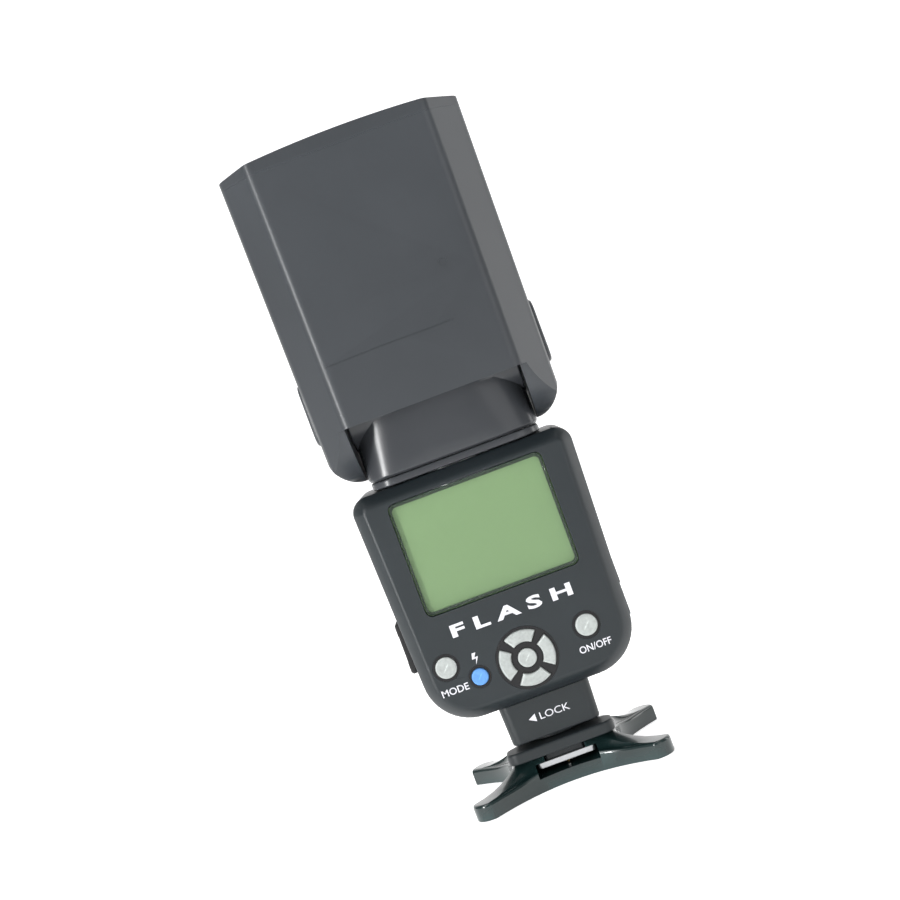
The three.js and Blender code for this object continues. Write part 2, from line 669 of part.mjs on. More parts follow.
function headPrism(inset, [z0, z1]) {
  const geometry = extruded(headPlan(inset), z1 - z0, 1);
  geometry.translate(0, 0, z0);
  const position = geometry.attributes.position;
  for (let index = 0; index < position.count; index += 1) {
    const growth = 1 + HEAD.flare * position.getZ(index);
    position.setX(index, position.getX(index) * growth);
    position.setY(index, position.getY(index) * growth);
  }
  return solidOf(geometry);
}

// Side view: straight down to the panel's lower edge, then the ears' arc about the axle.
function headSideOutline() {
  const { earRadius, panelBottom, shellTop } = HEAD;
  const deep = 40;
  const start = Math.asin(panelBottom / earRadius);
  const shape = new THREE.Shape();
  shape.moveTo(deep, shellTop);
  shape.lineTo(-deep, shellTop);
  shape.lineTo(-deep, panelBottom);
  shape.absarc(0, 0, earRadius, Math.PI - start, 2 * Math.PI + start, false);
  shape.lineTo(deep, panelBottom);
  return shape;
}

// Front view: straight sides that round in below the side buttons.
function headFrontOutline() {
  const { earInner, earRoundX, earRoundZ, shellTop, earRadius } = HEAD;
  const wide = earInner + earRoundX;
  const centreZ = earRoundZ - earRadius;
  const shape = new THREE.Shape();
  shape.moveTo(BEYOND, shellTop);
  shape.lineTo(-BEYOND, shellTop);
  shape.lineTo(-BEYOND, centreZ + 0.01);
  shape.lineTo(-wide, centreZ);
  shape.absellipse(-earInner, centreZ, earRoundX, earRoundZ, Math.PI, 1.5 * Math.PI);
  shape.absellipse(earInner, centreZ, earRoundX, earRoundZ, 1.5 * Math.PI, 2 * Math.PI);
  shape.lineTo(BEYOND, centreZ + 0.01);
  return shape;
}

function makeHeadShells() {
  const { earInner, earRadius, notchRadius, floor, shellTop, panelBottom } = HEAD;
  const form = headPrism(0, [-earRadius, shellTop])
    .intersect(prismX(headSideOutline(), [-BEYOND, BEYOND], 24))
    .intersect(prismY(headFrontOutline(), [-BEYOND, BEYOND], 8));

  // Room for the neck, which swings from below the head to its light side.
  const between = [-earInner, earInner];
  const notch = join(
    bar("x", notchRadius, between, [0, 0], 40),
    box(between, [-notchRadius, BEYOND], [-BEYOND, 0]),
    box(between, [-BEYOND, BEYOND], [-BEYOND, panelBottom]),
    box(between, [0, BEYOND], [-BEYOND, notchRadius])
  );
  const lowRoom = [panelBottom + WALL, floor + 1];
  const cavity = join(
    headPrism(WALL, [floor, shellTop + 1]),
    box([-CARD_ROOM.halfWidth, CARD_ROOM.halfWidth], [CARD_ROOM.back, -notchRadius - WALL], lowRoom)
  );
  const roomDepth = [-EAR_ROOM.halfDepth, EAR_ROOM.halfDepth];
  const roomHeight = [EAR_ROOM.bottom, floor + 1];
  const earHollows = [
    box([EAR_ROOM.inner, EAR_ROOM.outer], roomDepth, roomHeight),
    box([-EAR_ROOM.outer, -EAR_ROOM.inner], roomDepth, roomHeight),
  ];
  const bore = bar("x", AXLE.radius + TOUCH, [-AXLE.boreHalfLength, AXLE.boreHalfLength], [0, 0]);
  const clearance = 0.4;
  const pocketFloor = EAR_PART.inner - 1.4; // leaves the button room for its travel
  const pocketDepth = [-EAR_PART.halfDepth - clearance, EAR_PART.halfDepth + clearance];
  const pocketHeight = [EAR_PART.bottom - clearance, EAR_PART.top + clearance];
  const pockets = [
    box([pocketFloor, BEYOND], pocketDepth, pocketHeight),
    box([-BEYOND, -pocketFloor], pocketDepth, pocketHeight),
  ];
  const shell = cut(form, notch, cavity, ...earHollows, bore, ...pockets);
  const rearHalf = box([-BEYOND, BEYOND], [-BEYOND, -TOUCH / 2], [-BEYOND, 2 * BEYOND]);
  const frontHalf = box([-BEYOND, BEYOND], [TOUCH / 2, BEYOND], [-BEYOND, 2 * BEYOND]);
  add(head, "head_rear_shell", shell.intersect(rearHalf), headPlastic);
  add(head, "head_front_shell", shell.intersect(frontHalf), headPlastic);
}
makeHeadShells();

function makeEarParts() {
  const { inner, outer, halfDepth, bottom, top } = EAR_PART;
  const outline = roundedRect(2 * halfDepth, top - bottom, 4, 0, (top + bottom) / 2);
  add(head, "tilt_release_button", prismX(outline, [inner, outer], 5), headPlastic);
  add(head, "ear_cap", prismX(outline, [-outer, -inner], 5), headPlastic);
}
makeEarParts();

// The rim rises to its middle in a shallow arc, and holds the lens and the slot of the two sliding panels.
function makeRim() {
  const { shellTop, rimCorner, rimMiddle, halfWidth, flare } = HEAD;
  const rise = rimMiddle - rimCorner;
  const halfChord = halfWidth * (1 + flare * rimCorner);
  const radius = (halfChord * halfChord + rise * rise) / (2 * rise);
  const halfAngle = Math.asin(halfChord / radius);
  const arch = new THREE.Shape();
  arch.moveTo(-halfChord, shellTop);
  arch.lineTo(halfChord, shellTop);
  arch.absarc(0, rimMiddle - radius, radius, Math.PI / 2 - halfAngle, Math.PI / 2 + halfAngle, false);
  const body = headPrism(0, [shellTop + TOUCH, rimMiddle + 1]).intersect(prismY(arch, [-BEYOND, BEYOND], 12));
  const windowX = LENS.halfWidth + TOUCH;
  const windowY = LENS.halfDepth + TOUCH;
  const window = box([-windowX, windowX], [-windowY, windowY], [0, 2 * BEYOND]);
  const slotWidth = [-CARD_ROOM.halfWidth, CARD_ROOM.halfWidth];
  const slot = box(slotWidth, [CARD.back - 0.4, WIDE.front + 0.4], [0, 2 * BEYOND]);
  add(head, "lens_rim", cut(body, window, slot), headPlastic);
  const lensDepth = [-LENS.halfDepth, LENS.halfDepth];
  const lens = box([-LENS.halfWidth, LENS.halfWidth], lensDepth, [LENS.bottom, LENS.top]);
  add(head, "fresnel_lens", lens, clearPlastic);
}
makeRim();

function makeSlidingPanels() {
  const card = box([-CARD.halfWidth, CARD.halfWidth], [CARD.back, CARD.front], [CARD.bottom, CARD.top]);
  add(head, "bounce_card", card, whitePlastic);
  const wide = box([-WIDE.halfWidth, WIDE.halfWidth], [WIDE.back, WIDE.front], [WIDE.bottom, WIDE.top]);
  add(head, "wide_panel", wide, clearPlastic);
}
makeSlidingPanels();

function troughOutline(halfDepth, apex, mouth) {
  const steps = 12;
  const shape = new THREE.Shape();
  for (let step = 0; step <= steps; step += 1) {
    const y = halfDepth * ((2 * step) / steps - 1);
    const z = apex + (mouth - apex) * (y / halfDepth) ** 2;
    if (step === 0) {
      shape.moveTo(y, z);
    } else {
      shape.lineTo(y, z);
    }
  }
  return shape;
}

function makeZoom() {
  const { halfWidth, halfDepth, apex, mouth, wall } = REFLECTOR;
  const outside = prismX(troughOutline(halfDepth, apex, mouth), [-halfWidth, halfWidth]);
  const hollow = troughOutline(halfDepth - wall, apex + wall, mouth + 0.01);
  const inside = prismX(hollow, [-halfWidth + wall, halfWidth - wall]);
  const tubeZ = apex + TUBE.aboveApex;
  const tubeHole = bar("x", TUBE.hole, [-halfWidth - 1, halfWidth + 1], [0, tubeZ], 16);
  add(head, "reflector", cut(outside, inside, tubeHole), mirrorSilver);
  const tubeLength = [-halfWidth - TUBE.proud, halfWidth + TUBE.proud];
  add(head, "flash_tube", bar("x", TUBE.radius, tubeLength, [0, tubeZ], 16), clearPlastic);

  const railHole = (x) => bar("z", RAIL.hole, [0, 2 * BEYOND], [x, 0], 16);
  const lugReach = RAIL.x + 2.2;
  const height = [CARRIAGE.bottom, CARRIAGE.top];
  const plateX = [-CARRIAGE.halfWidth, CARRIAGE.halfWidth];
  const plate = box(plateX, [-CARRIAGE.halfDepth, CARRIAGE.halfDepth], height);
  const lugs = box([-lugReach, lugReach], [-3.5, 3.5], height);
  add(head, "zoom_carriage", cut(join(plate, lugs), railHole(RAIL.x), railHole(-RAIL.x)), bodyPlastic);
  add(head, "guide_rod", bar("z", RAIL.radius, [RAIL.bottom, RAIL.top], [-RAIL.x, 0], 12), steel);
  add(head, "lead_screw", bar("z", RAIL.radius, [RAIL.bottom, RAIL.top], [RAIL.x, 0], 12), steel);
  const motorLength = [MOTOR.bottom, RAIL.bottom - TOUCH];
  add(head, "zoom_motor", bar("z", MOTOR.radius, motorLength, [RAIL.x - MOTOR.inset, 0], 20), steel);
}
makeZoom();

export default flash;
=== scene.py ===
import math

import bmesh
import bpy
from mathutils import Matrix, Vector


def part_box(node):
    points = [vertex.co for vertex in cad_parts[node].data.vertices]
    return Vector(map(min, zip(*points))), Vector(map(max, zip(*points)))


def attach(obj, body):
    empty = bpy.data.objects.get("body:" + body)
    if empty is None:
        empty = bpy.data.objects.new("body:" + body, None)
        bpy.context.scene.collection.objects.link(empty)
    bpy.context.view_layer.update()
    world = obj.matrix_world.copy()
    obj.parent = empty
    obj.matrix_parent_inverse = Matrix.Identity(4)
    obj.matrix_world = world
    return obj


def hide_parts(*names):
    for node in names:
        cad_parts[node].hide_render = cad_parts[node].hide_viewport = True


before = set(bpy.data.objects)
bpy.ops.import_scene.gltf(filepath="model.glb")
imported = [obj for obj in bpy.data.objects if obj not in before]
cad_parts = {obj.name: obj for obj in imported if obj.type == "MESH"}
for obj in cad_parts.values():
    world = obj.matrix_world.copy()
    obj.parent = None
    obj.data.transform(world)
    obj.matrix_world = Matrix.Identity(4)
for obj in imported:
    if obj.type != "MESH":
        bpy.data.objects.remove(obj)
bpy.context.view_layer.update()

MM = 0.001

# ---------------------------------------------------------------- studio
# The flash stands on a seamless pale sweep under five soft lamps: a key and a fill in front, a strip at each
# side and one overhead. The camera looks at the display side, rolled so that the flash leans to the left.


def camera_at(place, turn, tilt, roll, focal_in_widths):
    """A camera that looks along +Y, then is turned, tilted and rolled."""
    ahead = Vector((math.sin(turn) * math.cos(tilt), math.cos(turn) * math.cos(tilt), math.sin(tilt)))
    level = ahead.cross(Vector((0, 0, 1))).normalized()
    upright = level.cross(ahead)
    right = level * math.cos(roll) + upright * math.sin(roll)
    up = upright * math.cos(roll) - level * math.sin(roll)
    lens = bpy.data.cameras.new("studio_camera")
    lens.lens = lens.sensor_width * focal_in_widths
    lens.clip_start = 0.01
    camera = bpy.data.objects.new("studio_camera", lens)
    bpy.context.scene.collection.objects.link(camera)
    turned = Matrix((right, up, -ahead)).transposed().to_4x4()
    camera.matrix_world = Matrix.Translation(place) @ turned
    return camera


bpy.context.scene.camera = camera_at(
    place=Vector((0.0098, -0.560, 0.1262)),
    turn=math.radians(-1.1),
    tilt=math.radians(-1.87),
    roll=math.radians(-20.42),
    focal_in_widths=1.978,
)


def soft_lamp(name, place, size, power, target=(0, 0, 0.11)):
    lamp = bpy.data.lights.new(name, "AREA")
    lamp.shape = "RECTANGLE"
    lamp.size, lamp.size_y = size
    lamp.energy = power
    holder = bpy.data.objects.new(name, lamp)
    bpy.context.scene.collection.objects.link(holder)
    holder.location = place
    holder.rotation_euler = (Vector(target) - Vector(place)).to_track_quat("-Z", "Y").to_euler()


soft_lamp("key_lamp", (-0.60, -0.62, 0.80), (0.5, 0.5), 4.4)
soft_lamp("fill_lamp", (0.55, -0.90, 0.30), (0.6, 0.8), 1.6)
soft_lamp("left_strip", (-0.62, -0.62, 0.06), (0.05, 0.5), 8.0)
soft_lamp("right_strip", (0.80, 0.14, 0.20), (0.22, 0.8), 1.9)
soft_lamp("top_lamp", (0.0, 0.10, 1.10), (0.7, 0.5), 3.0)

world = bpy.data.worlds.new("studio_air")
world.use_nodes = True
world.node_tree.nodes["Background"].inputs["Color"].default_value = (1, 1, 1, 1)
world.node_tree.nodes["Background"].inputs["Strength"].default_value = 0.36
bpy.context.scene.world = world
bpy.context.scene.view_settings.view_transform = "Standard"


def make_sweep():
    """Floor that curves up into a wall, far behind the flash."""
    half_width, near, bend_start, bend_radius, wall_top, bend_steps = 4.0, -3.0, 1.6, 1.2, 4.0, 16
    line = [(near, 0.0), (bend_start, 0.0)]
    for step in range(1, bend_steps + 1):
        angle = math.radians(90 * step / bend_steps)
        line.append((bend_start + bend_radius * math.sin(angle), bend_radius * (1 - math.cos(angle))))
    line.append((bend_start + bend_radius, wall_top))
    points = [(x, y, z) for y, z in line for x in (-half_width, half_width)]
    quads = [(2 * i, 2 * i + 1, 2 * i + 3, 2 * i + 2) for i in range(len(line) - 1)]
    mesh = bpy.data.meshes.new("sweep")
    mesh.from_pydata(points, [], quads)
    mesh.shade_smooth()
    sweep = bpy.data.objects.new("sweep", mesh)
    bpy.context.scene.collection.objects.link(sweep)
    paper = bpy.data.materials.new("sweep_paper")
    paper.use_nodes = True
    shader = paper.node_tree.nodes["Principled BSDF"]
    shader.inputs["Roughness"].default_value = 0.9
    shader.inputs["Specular IOR Level"].default_value = 0.1
    shader.inputs["Emission Color"].default_value = (1, 1, 1, 1)
    shader.inputs["Emission Strength"].default_value = 0.68
    tooth = paper.node_tree.nodes.new("ShaderNodeTexNoise")
    tooth.inputs["Scale"].default_value = 3
    ramp = paper.node_tree.nodes.new("ShaderNodeValToRGB")
    ramp.color_ramp.elements[0].color = (0.93, 0.93, 0.93, 1)
    ramp.color_ramp.elements[1].color = (0.96, 0.96, 0.96, 1)
    paper.node_tree.links.new(tooth.outputs["Fac"], ramp.inputs["Fac"])
    paper.node_tree.links.new(ramp.outputs["Color"], shader.inputs["Base Color"])
    mesh.materials.append(paper)


make_sweep()

# ---------------------------------------------------------------- mini stand
# A four-legged stand moulded in polished black plastic with a faint green cast. A block on top of the plate
# carries the channel that grips the flash's shoe. The legs are thick slabs that dip towards their tips.

BEYOND = 60  # how far cutting tools reach past a piece


def arc(centre, radius, start, end, steps):
    """Points along an arc, angles in degrees."""
    cx, cy = centre
    rx, ry = radius if isinstance(radius, tuple) else (radius, radius)
    angles = [math.radians(start + (end - start) * i / steps) for i in range(steps + 1)]
    return [(cx + rx * math.cos(a), cy + ry * math.sin(a)) for a in angles]


def rounded_box_outline(width, height, radius, centre=(0, 0), steps=6):
    cx, cy = centre
    across, along = width / 2 - radius, height / 2 - radius
    points = []
    for sx, sy, start in ((1, -1, -90), (1, 1, 0), (-1, 1, 90), (-1, -1, 180)):
        points += arc((cx + sx * across, cy + sy * along), radius, start, start + 90, steps)
    return points


def inset(points, amount):
    """The outline moved inwards by amount. It runs anticlockwise."""
    if amount == 0:
        return list(points)
    moved = []
    count = len(points)
    for index, (x, y) in enumerate(points):
        before, after = points[index - 1], points[(index + 1) % count]
        ax, ay = x - before[0], y - before[1]
        bx, by = after[0] - x, after[1] - y
        la, lb = math.hypot(ax, ay) or 1, math.hypot(bx, by) or 1
        nx, ny = -(ay / la + by / lb), ax / la + bx / lb
        length = math.hypot(nx, ny) or 1
        nx, ny = nx / length, ny / length
        lean = max(0.5, nx * -ay / la + ny * ax / la)
        moved.append((x + nx * amount / lean, y + ny * amount / lean))
    return moved


def soft_levels(low, high, radius, steps=4, low_radius=None):
    """Inset and height pairs that round both ends of a pulled outline."""
    low_radius = radius if low_radius is None else low_radius
    angles = [math.pi / 2 * i / steps for i in range(steps + 1)]
    start = [(low_radius * (1 - math.sin(a)), low + low_radius * (1 - math.cos(a))) for a in angles]
    end = [(radius * (1 - math.sin(a)), high - radius * (1 - math.cos(a))) for a in reversed(angles)]
    return start + end


ALONG = {
    "x": lambda u, v, h: (h, u, v),
    "y": lambda u, v, h: (u, h, v),
    "z": lambda u, v, h: (u, v, h),
}


def new_piece(name, points, faces):
    """A mesh object whose faces all look outwards."""
    work = bmesh.new()
    vertices = [work.verts.new(point) for point in points]
    for face in faces:
        work.faces.new([vertices[index] for index in face])
    bmesh.ops.recalc_face_normals(work, faces=work.faces)
    mesh = bpy.data.meshes.new(name)
    work.to_mesh(mesh)
    work.free()
    piece = bpy.data.objects.new(name, mesh)
    bpy.context.scene.collection.objects.link(piece)
    return piece


def skin(name, rings):
    """A closed piece over rings of points, all in millimetres, with a cap on the first and last ring."""
    count = len(rings[0])
    points = [tuple(c * MM for c in point) for ring in rings for point in ring]
    faces = [tuple(reversed(range(count))), tuple(range(len(points) - count, len(points)))]
    for level in range(len(rings) - 1):
        first = level * count
        for i in range(count):
            j = (i + 1) % count
            faces.append((first + i, first + j, first + count + j, first + count + i))
    return new_piece(name, points, faces)


def pulled(name, outline, axis, levels):
    """An outline pulled along an axis. Levels are pairs of inset and height."""
    levels = [level for number, level in enumerate(levels) if number == 0 or level != levels[number - 1]]
    rings = [[ALONG[axis](u, v, height) for u, v in inset(outline, amount)] for amount, height in levels]
    if axis == "y":
        rings.reverse()
    return skin(name, rings)


def bar(name, axis, radius, low, high, centre, edge=0.2, sides=32, steps=2):
    outline = arc(centre, radius, 0, 360 - 360 / sides, sides - 1)
    return pulled(name, outline, axis, soft_levels(low, high, edge, steps))


def extent(node):
    """Lowest and highest x, y and z of a solid of the frame, in millimetres."""
    low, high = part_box(node)
    return [(a / MM, b / MM) for a, b in zip(low, high)]


def across(node, axis):
    """The two spans of a solid that lie across an axis."""
    return [span for name, span in zip("xyz", extent(node)) if name != axis]


def middle_of(node, axis):
    """Middle of a solid, looked at along an axis."""
    (u0, u1), (v0, v1) = across(node, axis)
    return (u0 + u1) / 2, (v0 + v1) / 2


def section(node, axis, corner, steps=6, grow=0.0):
    """Outline with round corners over a solid, looked at along an axis."""
    (u0, u1), (v0, v1) = across(node, axis)
    return rounded_box_outline(u1 - u0 + grow, v1 - v0 + grow, corner, middle_of(node, axis), steps)


def straight(name, outline, axis, low, high):
    return pulled(name, outline, axis, [(0, low), (0, high)])


def drill(axis, radius, low, high, centre, sides=32):
    """A plain round bar that cuts a hole."""
    return bar("drill", axis, radius, low, high, centre, 0, sides)


def block(name, x, y, z):
    """A plain box that cuts a slot or an opening."""
    return straight(name, [(x[0], y[0]), (x[1], y[0]), (x[1], y[1]), (x[0], y[1])], "z", *z)


def apply_all(piece):
    graph = bpy.context.evaluated_depsgraph_get()
    finished = bpy.data.meshes.new_from_object(piece.evaluated_get(graph))
    old = piece.data
    piece.modifiers.clear()
    piece.data = finished
    bpy.data.meshes.remove(old)


def combine(piece, *tools, how="DIFFERENCE"):
    """Cuts, joins or trims a piece with other pieces, which are used up."""
    for tool in tools:
        step = piece.modifiers.new("combine", "BOOLEAN")
        step.operation = how
        step.solver = "EXACT"
        step.object = tool
        apply_all(piece)
        bpy.data.objects.remove(tool)


def round_edges(piece, width, steps=2, angle=35):
    rounding = piece.modifiers.new("rounding", "BEVEL")
    rounding.width = width * MM
    rounding.segments = steps
    rounding.limit_method = "ANGLE"
    rounding.angle_limit = math.radians(angle)
    apply_all(piece)
    return piece


def soften(piece, width=0.25, steps=2, angle=35):
    """Rounds what sharp edges are left, and shades the piece smoothly between them."""
    if width:
        round_edges(piece, width, steps, angle)
    piece.data.shade_smooth()
    piece.data.set_sharp_from_angle(angle=math.radians(angle + 5))
    broad = 60 * MM * MM
    for face in piece.data.polygons:
        if len(face.vertices) > 4 and face.area > broad:
            face.use_smooth = False
    weights = piece.modifiers.new("even_shading", "WEIGHTED_NORMAL")
    weights.keep_sharp = True
    return piece


def fit(piece, body, slot, material, *nodes):
    """Gives a finished piece its material, its body and the solids that it stands for."""
    piece.data.materials.clear()
    piece.data.materials.append(material)
    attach(piece, body)
    if nodes:
        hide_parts(*nodes)


def finish(piece, body, slot, material, *nodes):
    """Shades a piece whose edges are already rounded, and fits it."""
    soften(piece, 0)
    fit(piece, body, slot, material, *nodes)


def make_moulded_grain():
    """Node group: the uneven colour, gloss and fine grain of moulded plastic, with paler edges that are
    partly wear and partly a painted highlight.
    """
    group = bpy.data.node_groups.new("moulded_grain", "ShaderNodeTree")
    face = group.interface
    face.new_socket("Colour", in_out="INPUT", socket_type="NodeSocketColor")
    for name, value in (
        ("Cloudiness", 0.1),
        ("Cloud Size", 60),
        ("Grain Scale", 3000),
        ("Speckle", 0.05),
        ("Roughness", 0.5),
        ("Roughness Spread", 0.1),
        ("Edge Lift", 0.5),
    ):
        face.new_socket(name, in_out="INPUT", socket_type="NodeSocketFloat").default_value = value
    face.new_socket("Colour", in_out="OUTPUT", socket_type="NodeSocketColor")
    face.new_socket("Roughness", in_out="OUTPUT", socket_type="NodeSocketFloat")
    face.new_socket("Height", in_out="OUTPUT", socket_type="NodeSocketFloat")
    nodes, link = group.nodes, group.links.new
    given, result = nodes.new("NodeGroupInput"), nodes.new("NodeGroupOutput")
    place = nodes.new("ShaderNodeTexCoord")

    def noise(scale_from, detail):
        texture = nodes.new("ShaderNodeTexNoise")
        texture.inputs["Detail"].default_value = detail
        link(place.outputs["Object"], texture.inputs["Vector"])
        link(given.outputs[scale_from], texture.inputs["Scale"])
        return texture.outputs["Fac"]

    def maths(operation, *values):
        node = nodes.new("ShaderNodeMath")
        node.operation = operation
        for socket, value in zip(node.inputs, values):
            if isinstance(value, (int, float)):
                socket.default_value = value
            else:
                link(value, socket)
        return node.outputs[0]

    clouds = maths("SUBTRACT", noise("Cloud Size", 3), 0.5)
    grain = noise("Grain Scale", 2)
    speckle = maths("SUBTRACT", grain, 0.5)
    # Pointiness paints convex edges paler: partly edge wear, partly a painted highlight along edges and
    # creases.
    wear_and_highlight_mask = maths(
        "MULTIPLY", maths("SUBTRACT", nodes.new("ShaderNodeNewGeometry").outputs["Pointiness"], 0.53), 9
    )
    edge = maths("MULTIPLY", maths("MINIMUM", maths("MAXIMUM", wear_and_highlight_mask, 0), 1), given.outputs["Edge Lift"])
    tone = maths("MULTIPLY_ADD", clouds, given.outputs["Cloudiness"], 1)
    tone = maths("MULTIPLY_ADD", speckle, given.outputs["Speckle"], tone)
    tone = maths("ADD", tone, edge)
    shade = nodes.new("ShaderNodeHueSaturation")
    link(tone, shade.inputs["Value"])
    link(given.outputs["Colour"], shade.inputs["Color"])
    link(shade.outputs["Color"], result.inputs["Colour"])
    spread = maths("MULTIPLY_ADD", clouds, given.outputs["Roughness Spread"], given.outputs["Roughness"])
    link(spread, result.inputs["Roughness"])
    link(grain, result.inputs["Height"])
    return group


moulded_grain = make_moulded_grain()


def plastic(
    name, colour, roughness, grain_size=0.35, grain_depth=0.012, metallic=0.0, coat=0.0, gloss=0.4, **look
):
    """A material on the moulded grain: grain size and depth in millimetres, coat a clear gloss."""
    material = bpy.data.materials.new(name)
    material.use_nodes = True
    nodes, link = material.node_tree.nodes, material.node_tree.links.new
    shader = nodes["Principled BSDF"]
    shader.inputs["Metallic"].default_value = metallic
    shader.inputs["Coat Weight"].default_value = coat
    shader.inputs["Coat Roughness"].default_value = 0.08
    shader.inputs["Specular IOR Level"].default_value = gloss
    grain = nodes.new("ShaderNodeGroup")
    grain.node_tree = moulded_grain
    grain.inputs["Colour"].default_value = (*colour, 1)
    grain.inputs["Roughness"].default_value = roughness
    grain.inputs["Grain Scale"].default_value = 1000 / grain_size
    for socket, value in look.items():
        grain.inputs[socket.replace("_", " ").title()].default_value = value
    bump = nodes.new("ShaderNodeBump")
    bump.inputs["Strength"].default_value = 1
    bump.inputs["Distance"].default_value = grain_depth * MM
    link(grain.outputs["Colour"], shader.inputs["Base Color"])
    link(grain.outputs["Roughness"], shader.inputs["Roughness"])
    link(grain.outputs["Height"], bump.inputs["Height"])
    link(bump.outputs["Normal"], shader.inputs["Normal"])
    return material


# The grain's edge mask paints the stand's edges well paler: partly wear, partly a painted highlight.
stand_plastic = plastic(
    "stand_plastic", (0.006, 0.016, 0.016), 0.2,
    grain_size=6, grain_depth=0.02, coat=0.5, cloudiness=0.5, edge_lift=1.2,
)


def stand_outline():
    """Round leg tips joined by hollow sides."""
    tip_x, tip_y, tip_radius, wrap, hollow_x, hollow_y = 26.6, 24.5, 5.2, 10, 3.5, 5.4
    hollows = {-90: (hollow_x, 0), 0: (0, hollow_y), 90: (-hollow_x, 0), 180: (0, -hollow_y)}
    corners = ((1, -1, -90), (1, 1, 0), (-1, 1, 90), (-1, -1, 180))
    tips = []
    for sx, sy, start in corners:
        tips.append(arc((sx * tip_x, sy * tip_y), tip_radius, start - wrap, start + 90 + wrap, 8))
    points = []
    for index, (tip, corner) in enumerate(zip(tips, corners)):
        points += tip
        (x0, y0), (x2, y2) = tip[-1], tips[(index + 1) % 4][0]
        x1, y1 = hollows[corner[2]]
        for step in range(1, 16):
            t = step / 16
            a, b, c = (1 - t) ** 2, 2 * t * (1 - t), t * t
            points.append((a * x0 + b * x1 + c * x2, a * y0 + b * y1 + c * y2))
    return points


def ray_to_box(angle, half_x, half_y, power=6):
    """Where a line from the middle at that angle meets a rounded box."""
    c, s = math.cos(angle), math.sin(angle)
    reach = ((abs(c) / half_x) ** power + (abs(s) / half_y) ** power) ** (-1 / power)
    return reach * c, reach * s


def make_stand():
    tip_height, root_height, root_reach, leg_length = 5.3, 7.6, 17, 13
    socket_x, socket_y, top_edge, top = 17.1, 14.8, 0.5, extent("mini_stand")[2][1]
    channel_half, throat_half, channel_end, channel_floor, hole_radius = 9.95, 6.6, 14.5, 4.25, 4.9
    outline = stand_outline()
    edge_height = []
    for x, y in outline:
        near = 1 - min(1, max(0, (math.hypot(x, y) - root_reach) / leg_length))
        edge_height.append(tip_height + (root_height - tip_height) * near ** 1.5)
    rings = []
    for amount, height in ((0.7, 0), (0.2, 0.12), (0, 0.5)):
        rings.append([(x, y, height) for x, y in inset(outline, amount)])
    for amount, drop in ((0, 1.0), (0.12, 0.5), (0.42, 0.16), (0.95, 0)):
        ring = inset(outline, amount)
        rings.append([(x, y, high - drop) for (x, y), high in zip(ring, edge_height)])
    rim = inset(outline, 0.95)
    shoulder = [ray_to_box(math.atan2(y, x), socket_x, socket_y) for x, y in outline]
    for share in (0.2, 0.4, 0.6, 0.75, 0.87, 0.95, 1.0):
        ring = []
        for (x0, y0), (x1, y1), high in zip(rim, shoulder, edge_height):
            rise = high + (top - top_edge - high) * share ** 2.4
            ring.append((x0 + (x1 - x0) * share, y0 + (y1 - y0) * share, rise))
        rings.append(ring)
    for shrink, height in ((0.985, top - 0.18), (0.96, top)):
        rings.append([(x * shrink, y * shrink, height) for x, y in shoulder])
    legs = skin("mini_stand", rings)
    combine(
        legs,
        block("channel", (-channel_half, channel_half), (-BEYOND, channel_end), (channel_floor, 8.2)),
        block("throat", (-throat_half, throat_half), (-BEYOND, channel_end), (channel_floor + 0.05, 12)),
        bar("insert_hole", "z", hole_radius, -1, 3.4, (0, 0)),
    )
    soften(legs, 0.2, 2, 40)
    fit(legs, "stand", "stand_plastic", stand_plastic, "mini_stand")


make_stand()

# ---------------------------------------------------------------- tripod insert
# A turned brass sleeve pressed into the underside of the stand, with a quarter-inch thread in its bore.


def turned(name, profile, axis="z", centre=(0, 0), sides=40):
    """A ring turned from a closed profile of radius and height."""
    points, faces = [], []
    for radius, height in profile:
        for u, v in arc(centre, radius, 0, 360 - 360 / sides, sides - 1):
            points.append(tuple(c * MM for c in ALONG[axis](u, v, height)))
    for level in range(len(profile)):
        first, second = level * sides, ((level + 1) % len(profile)) * sides
        for i in range(sides):
            j = (i + 1) % sides
            faces.append((first + i, first + j, second + j, second + i))
    return new_piece(name, points, faces)


brass = plastic(
    "brass", (0.50, 0.33, 0.10), 0.3, grain_size=1.2, grain_depth=0.004, metallic=1.0, cloudiness=0.25
)


def make_insert():
    half_pitch, crest, root, mouth, outer, height, thread_top = 1.27 / 4, 2.6, 2.95, 3.1, 4.6, 3.1, 2.8
    profile = [(outer, 0.0), (outer, height), (crest, height)]
    for turn in range(8):
        profile.append((crest if turn % 2 else root, thread_top - turn * half_pitch))
    profile.append((mouth, 0.0))
    insert = turned("tripod_insert", profile)
    finish(insert, "stand", "brass", brass, "tripod_insert")


make_insert()

# ---------------------------------------------------------------- shoe plate and its two pins
# The bright steel foot that slides into the stand's channel. A sprung brass contact and a steel lock pin
# stand in holes through it.

steel = plastic(
    "bright_steel", (0.46, 0.47, 0.48), 0.30, grain_size=0.5, grain_depth=0.003, metallic=0.9, cloudiness=0.12
)
pin_brass = plastic("pin_brass", (0.60, 0.43, 0.18), 0.25, grain_size=0.6, grain_depth=0.002, metallic=1.0)


def finish_node(node, material):
    """Keeps a solid of the frame as it is, and gives it a material."""
    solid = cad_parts[node]
    solid.data.materials.clear()
    solid.data.materials.append(material)
    for face in solid.data.polygons:
        face.material_index = 0


CONTACT_HOLE, LOCK_HOLE, LOCK_Y = 1.6, 1.3, -7.5
PLATE_TOP = 7.9


def cut_pin_holes(piece, low, high):
    combine(
        piece,
        drill("z", CONTACT_HOLE, low, high, (0, 0)),
        drill("z", LOCK_HOLE, low, high, (0, LOCK_Y)),
    )


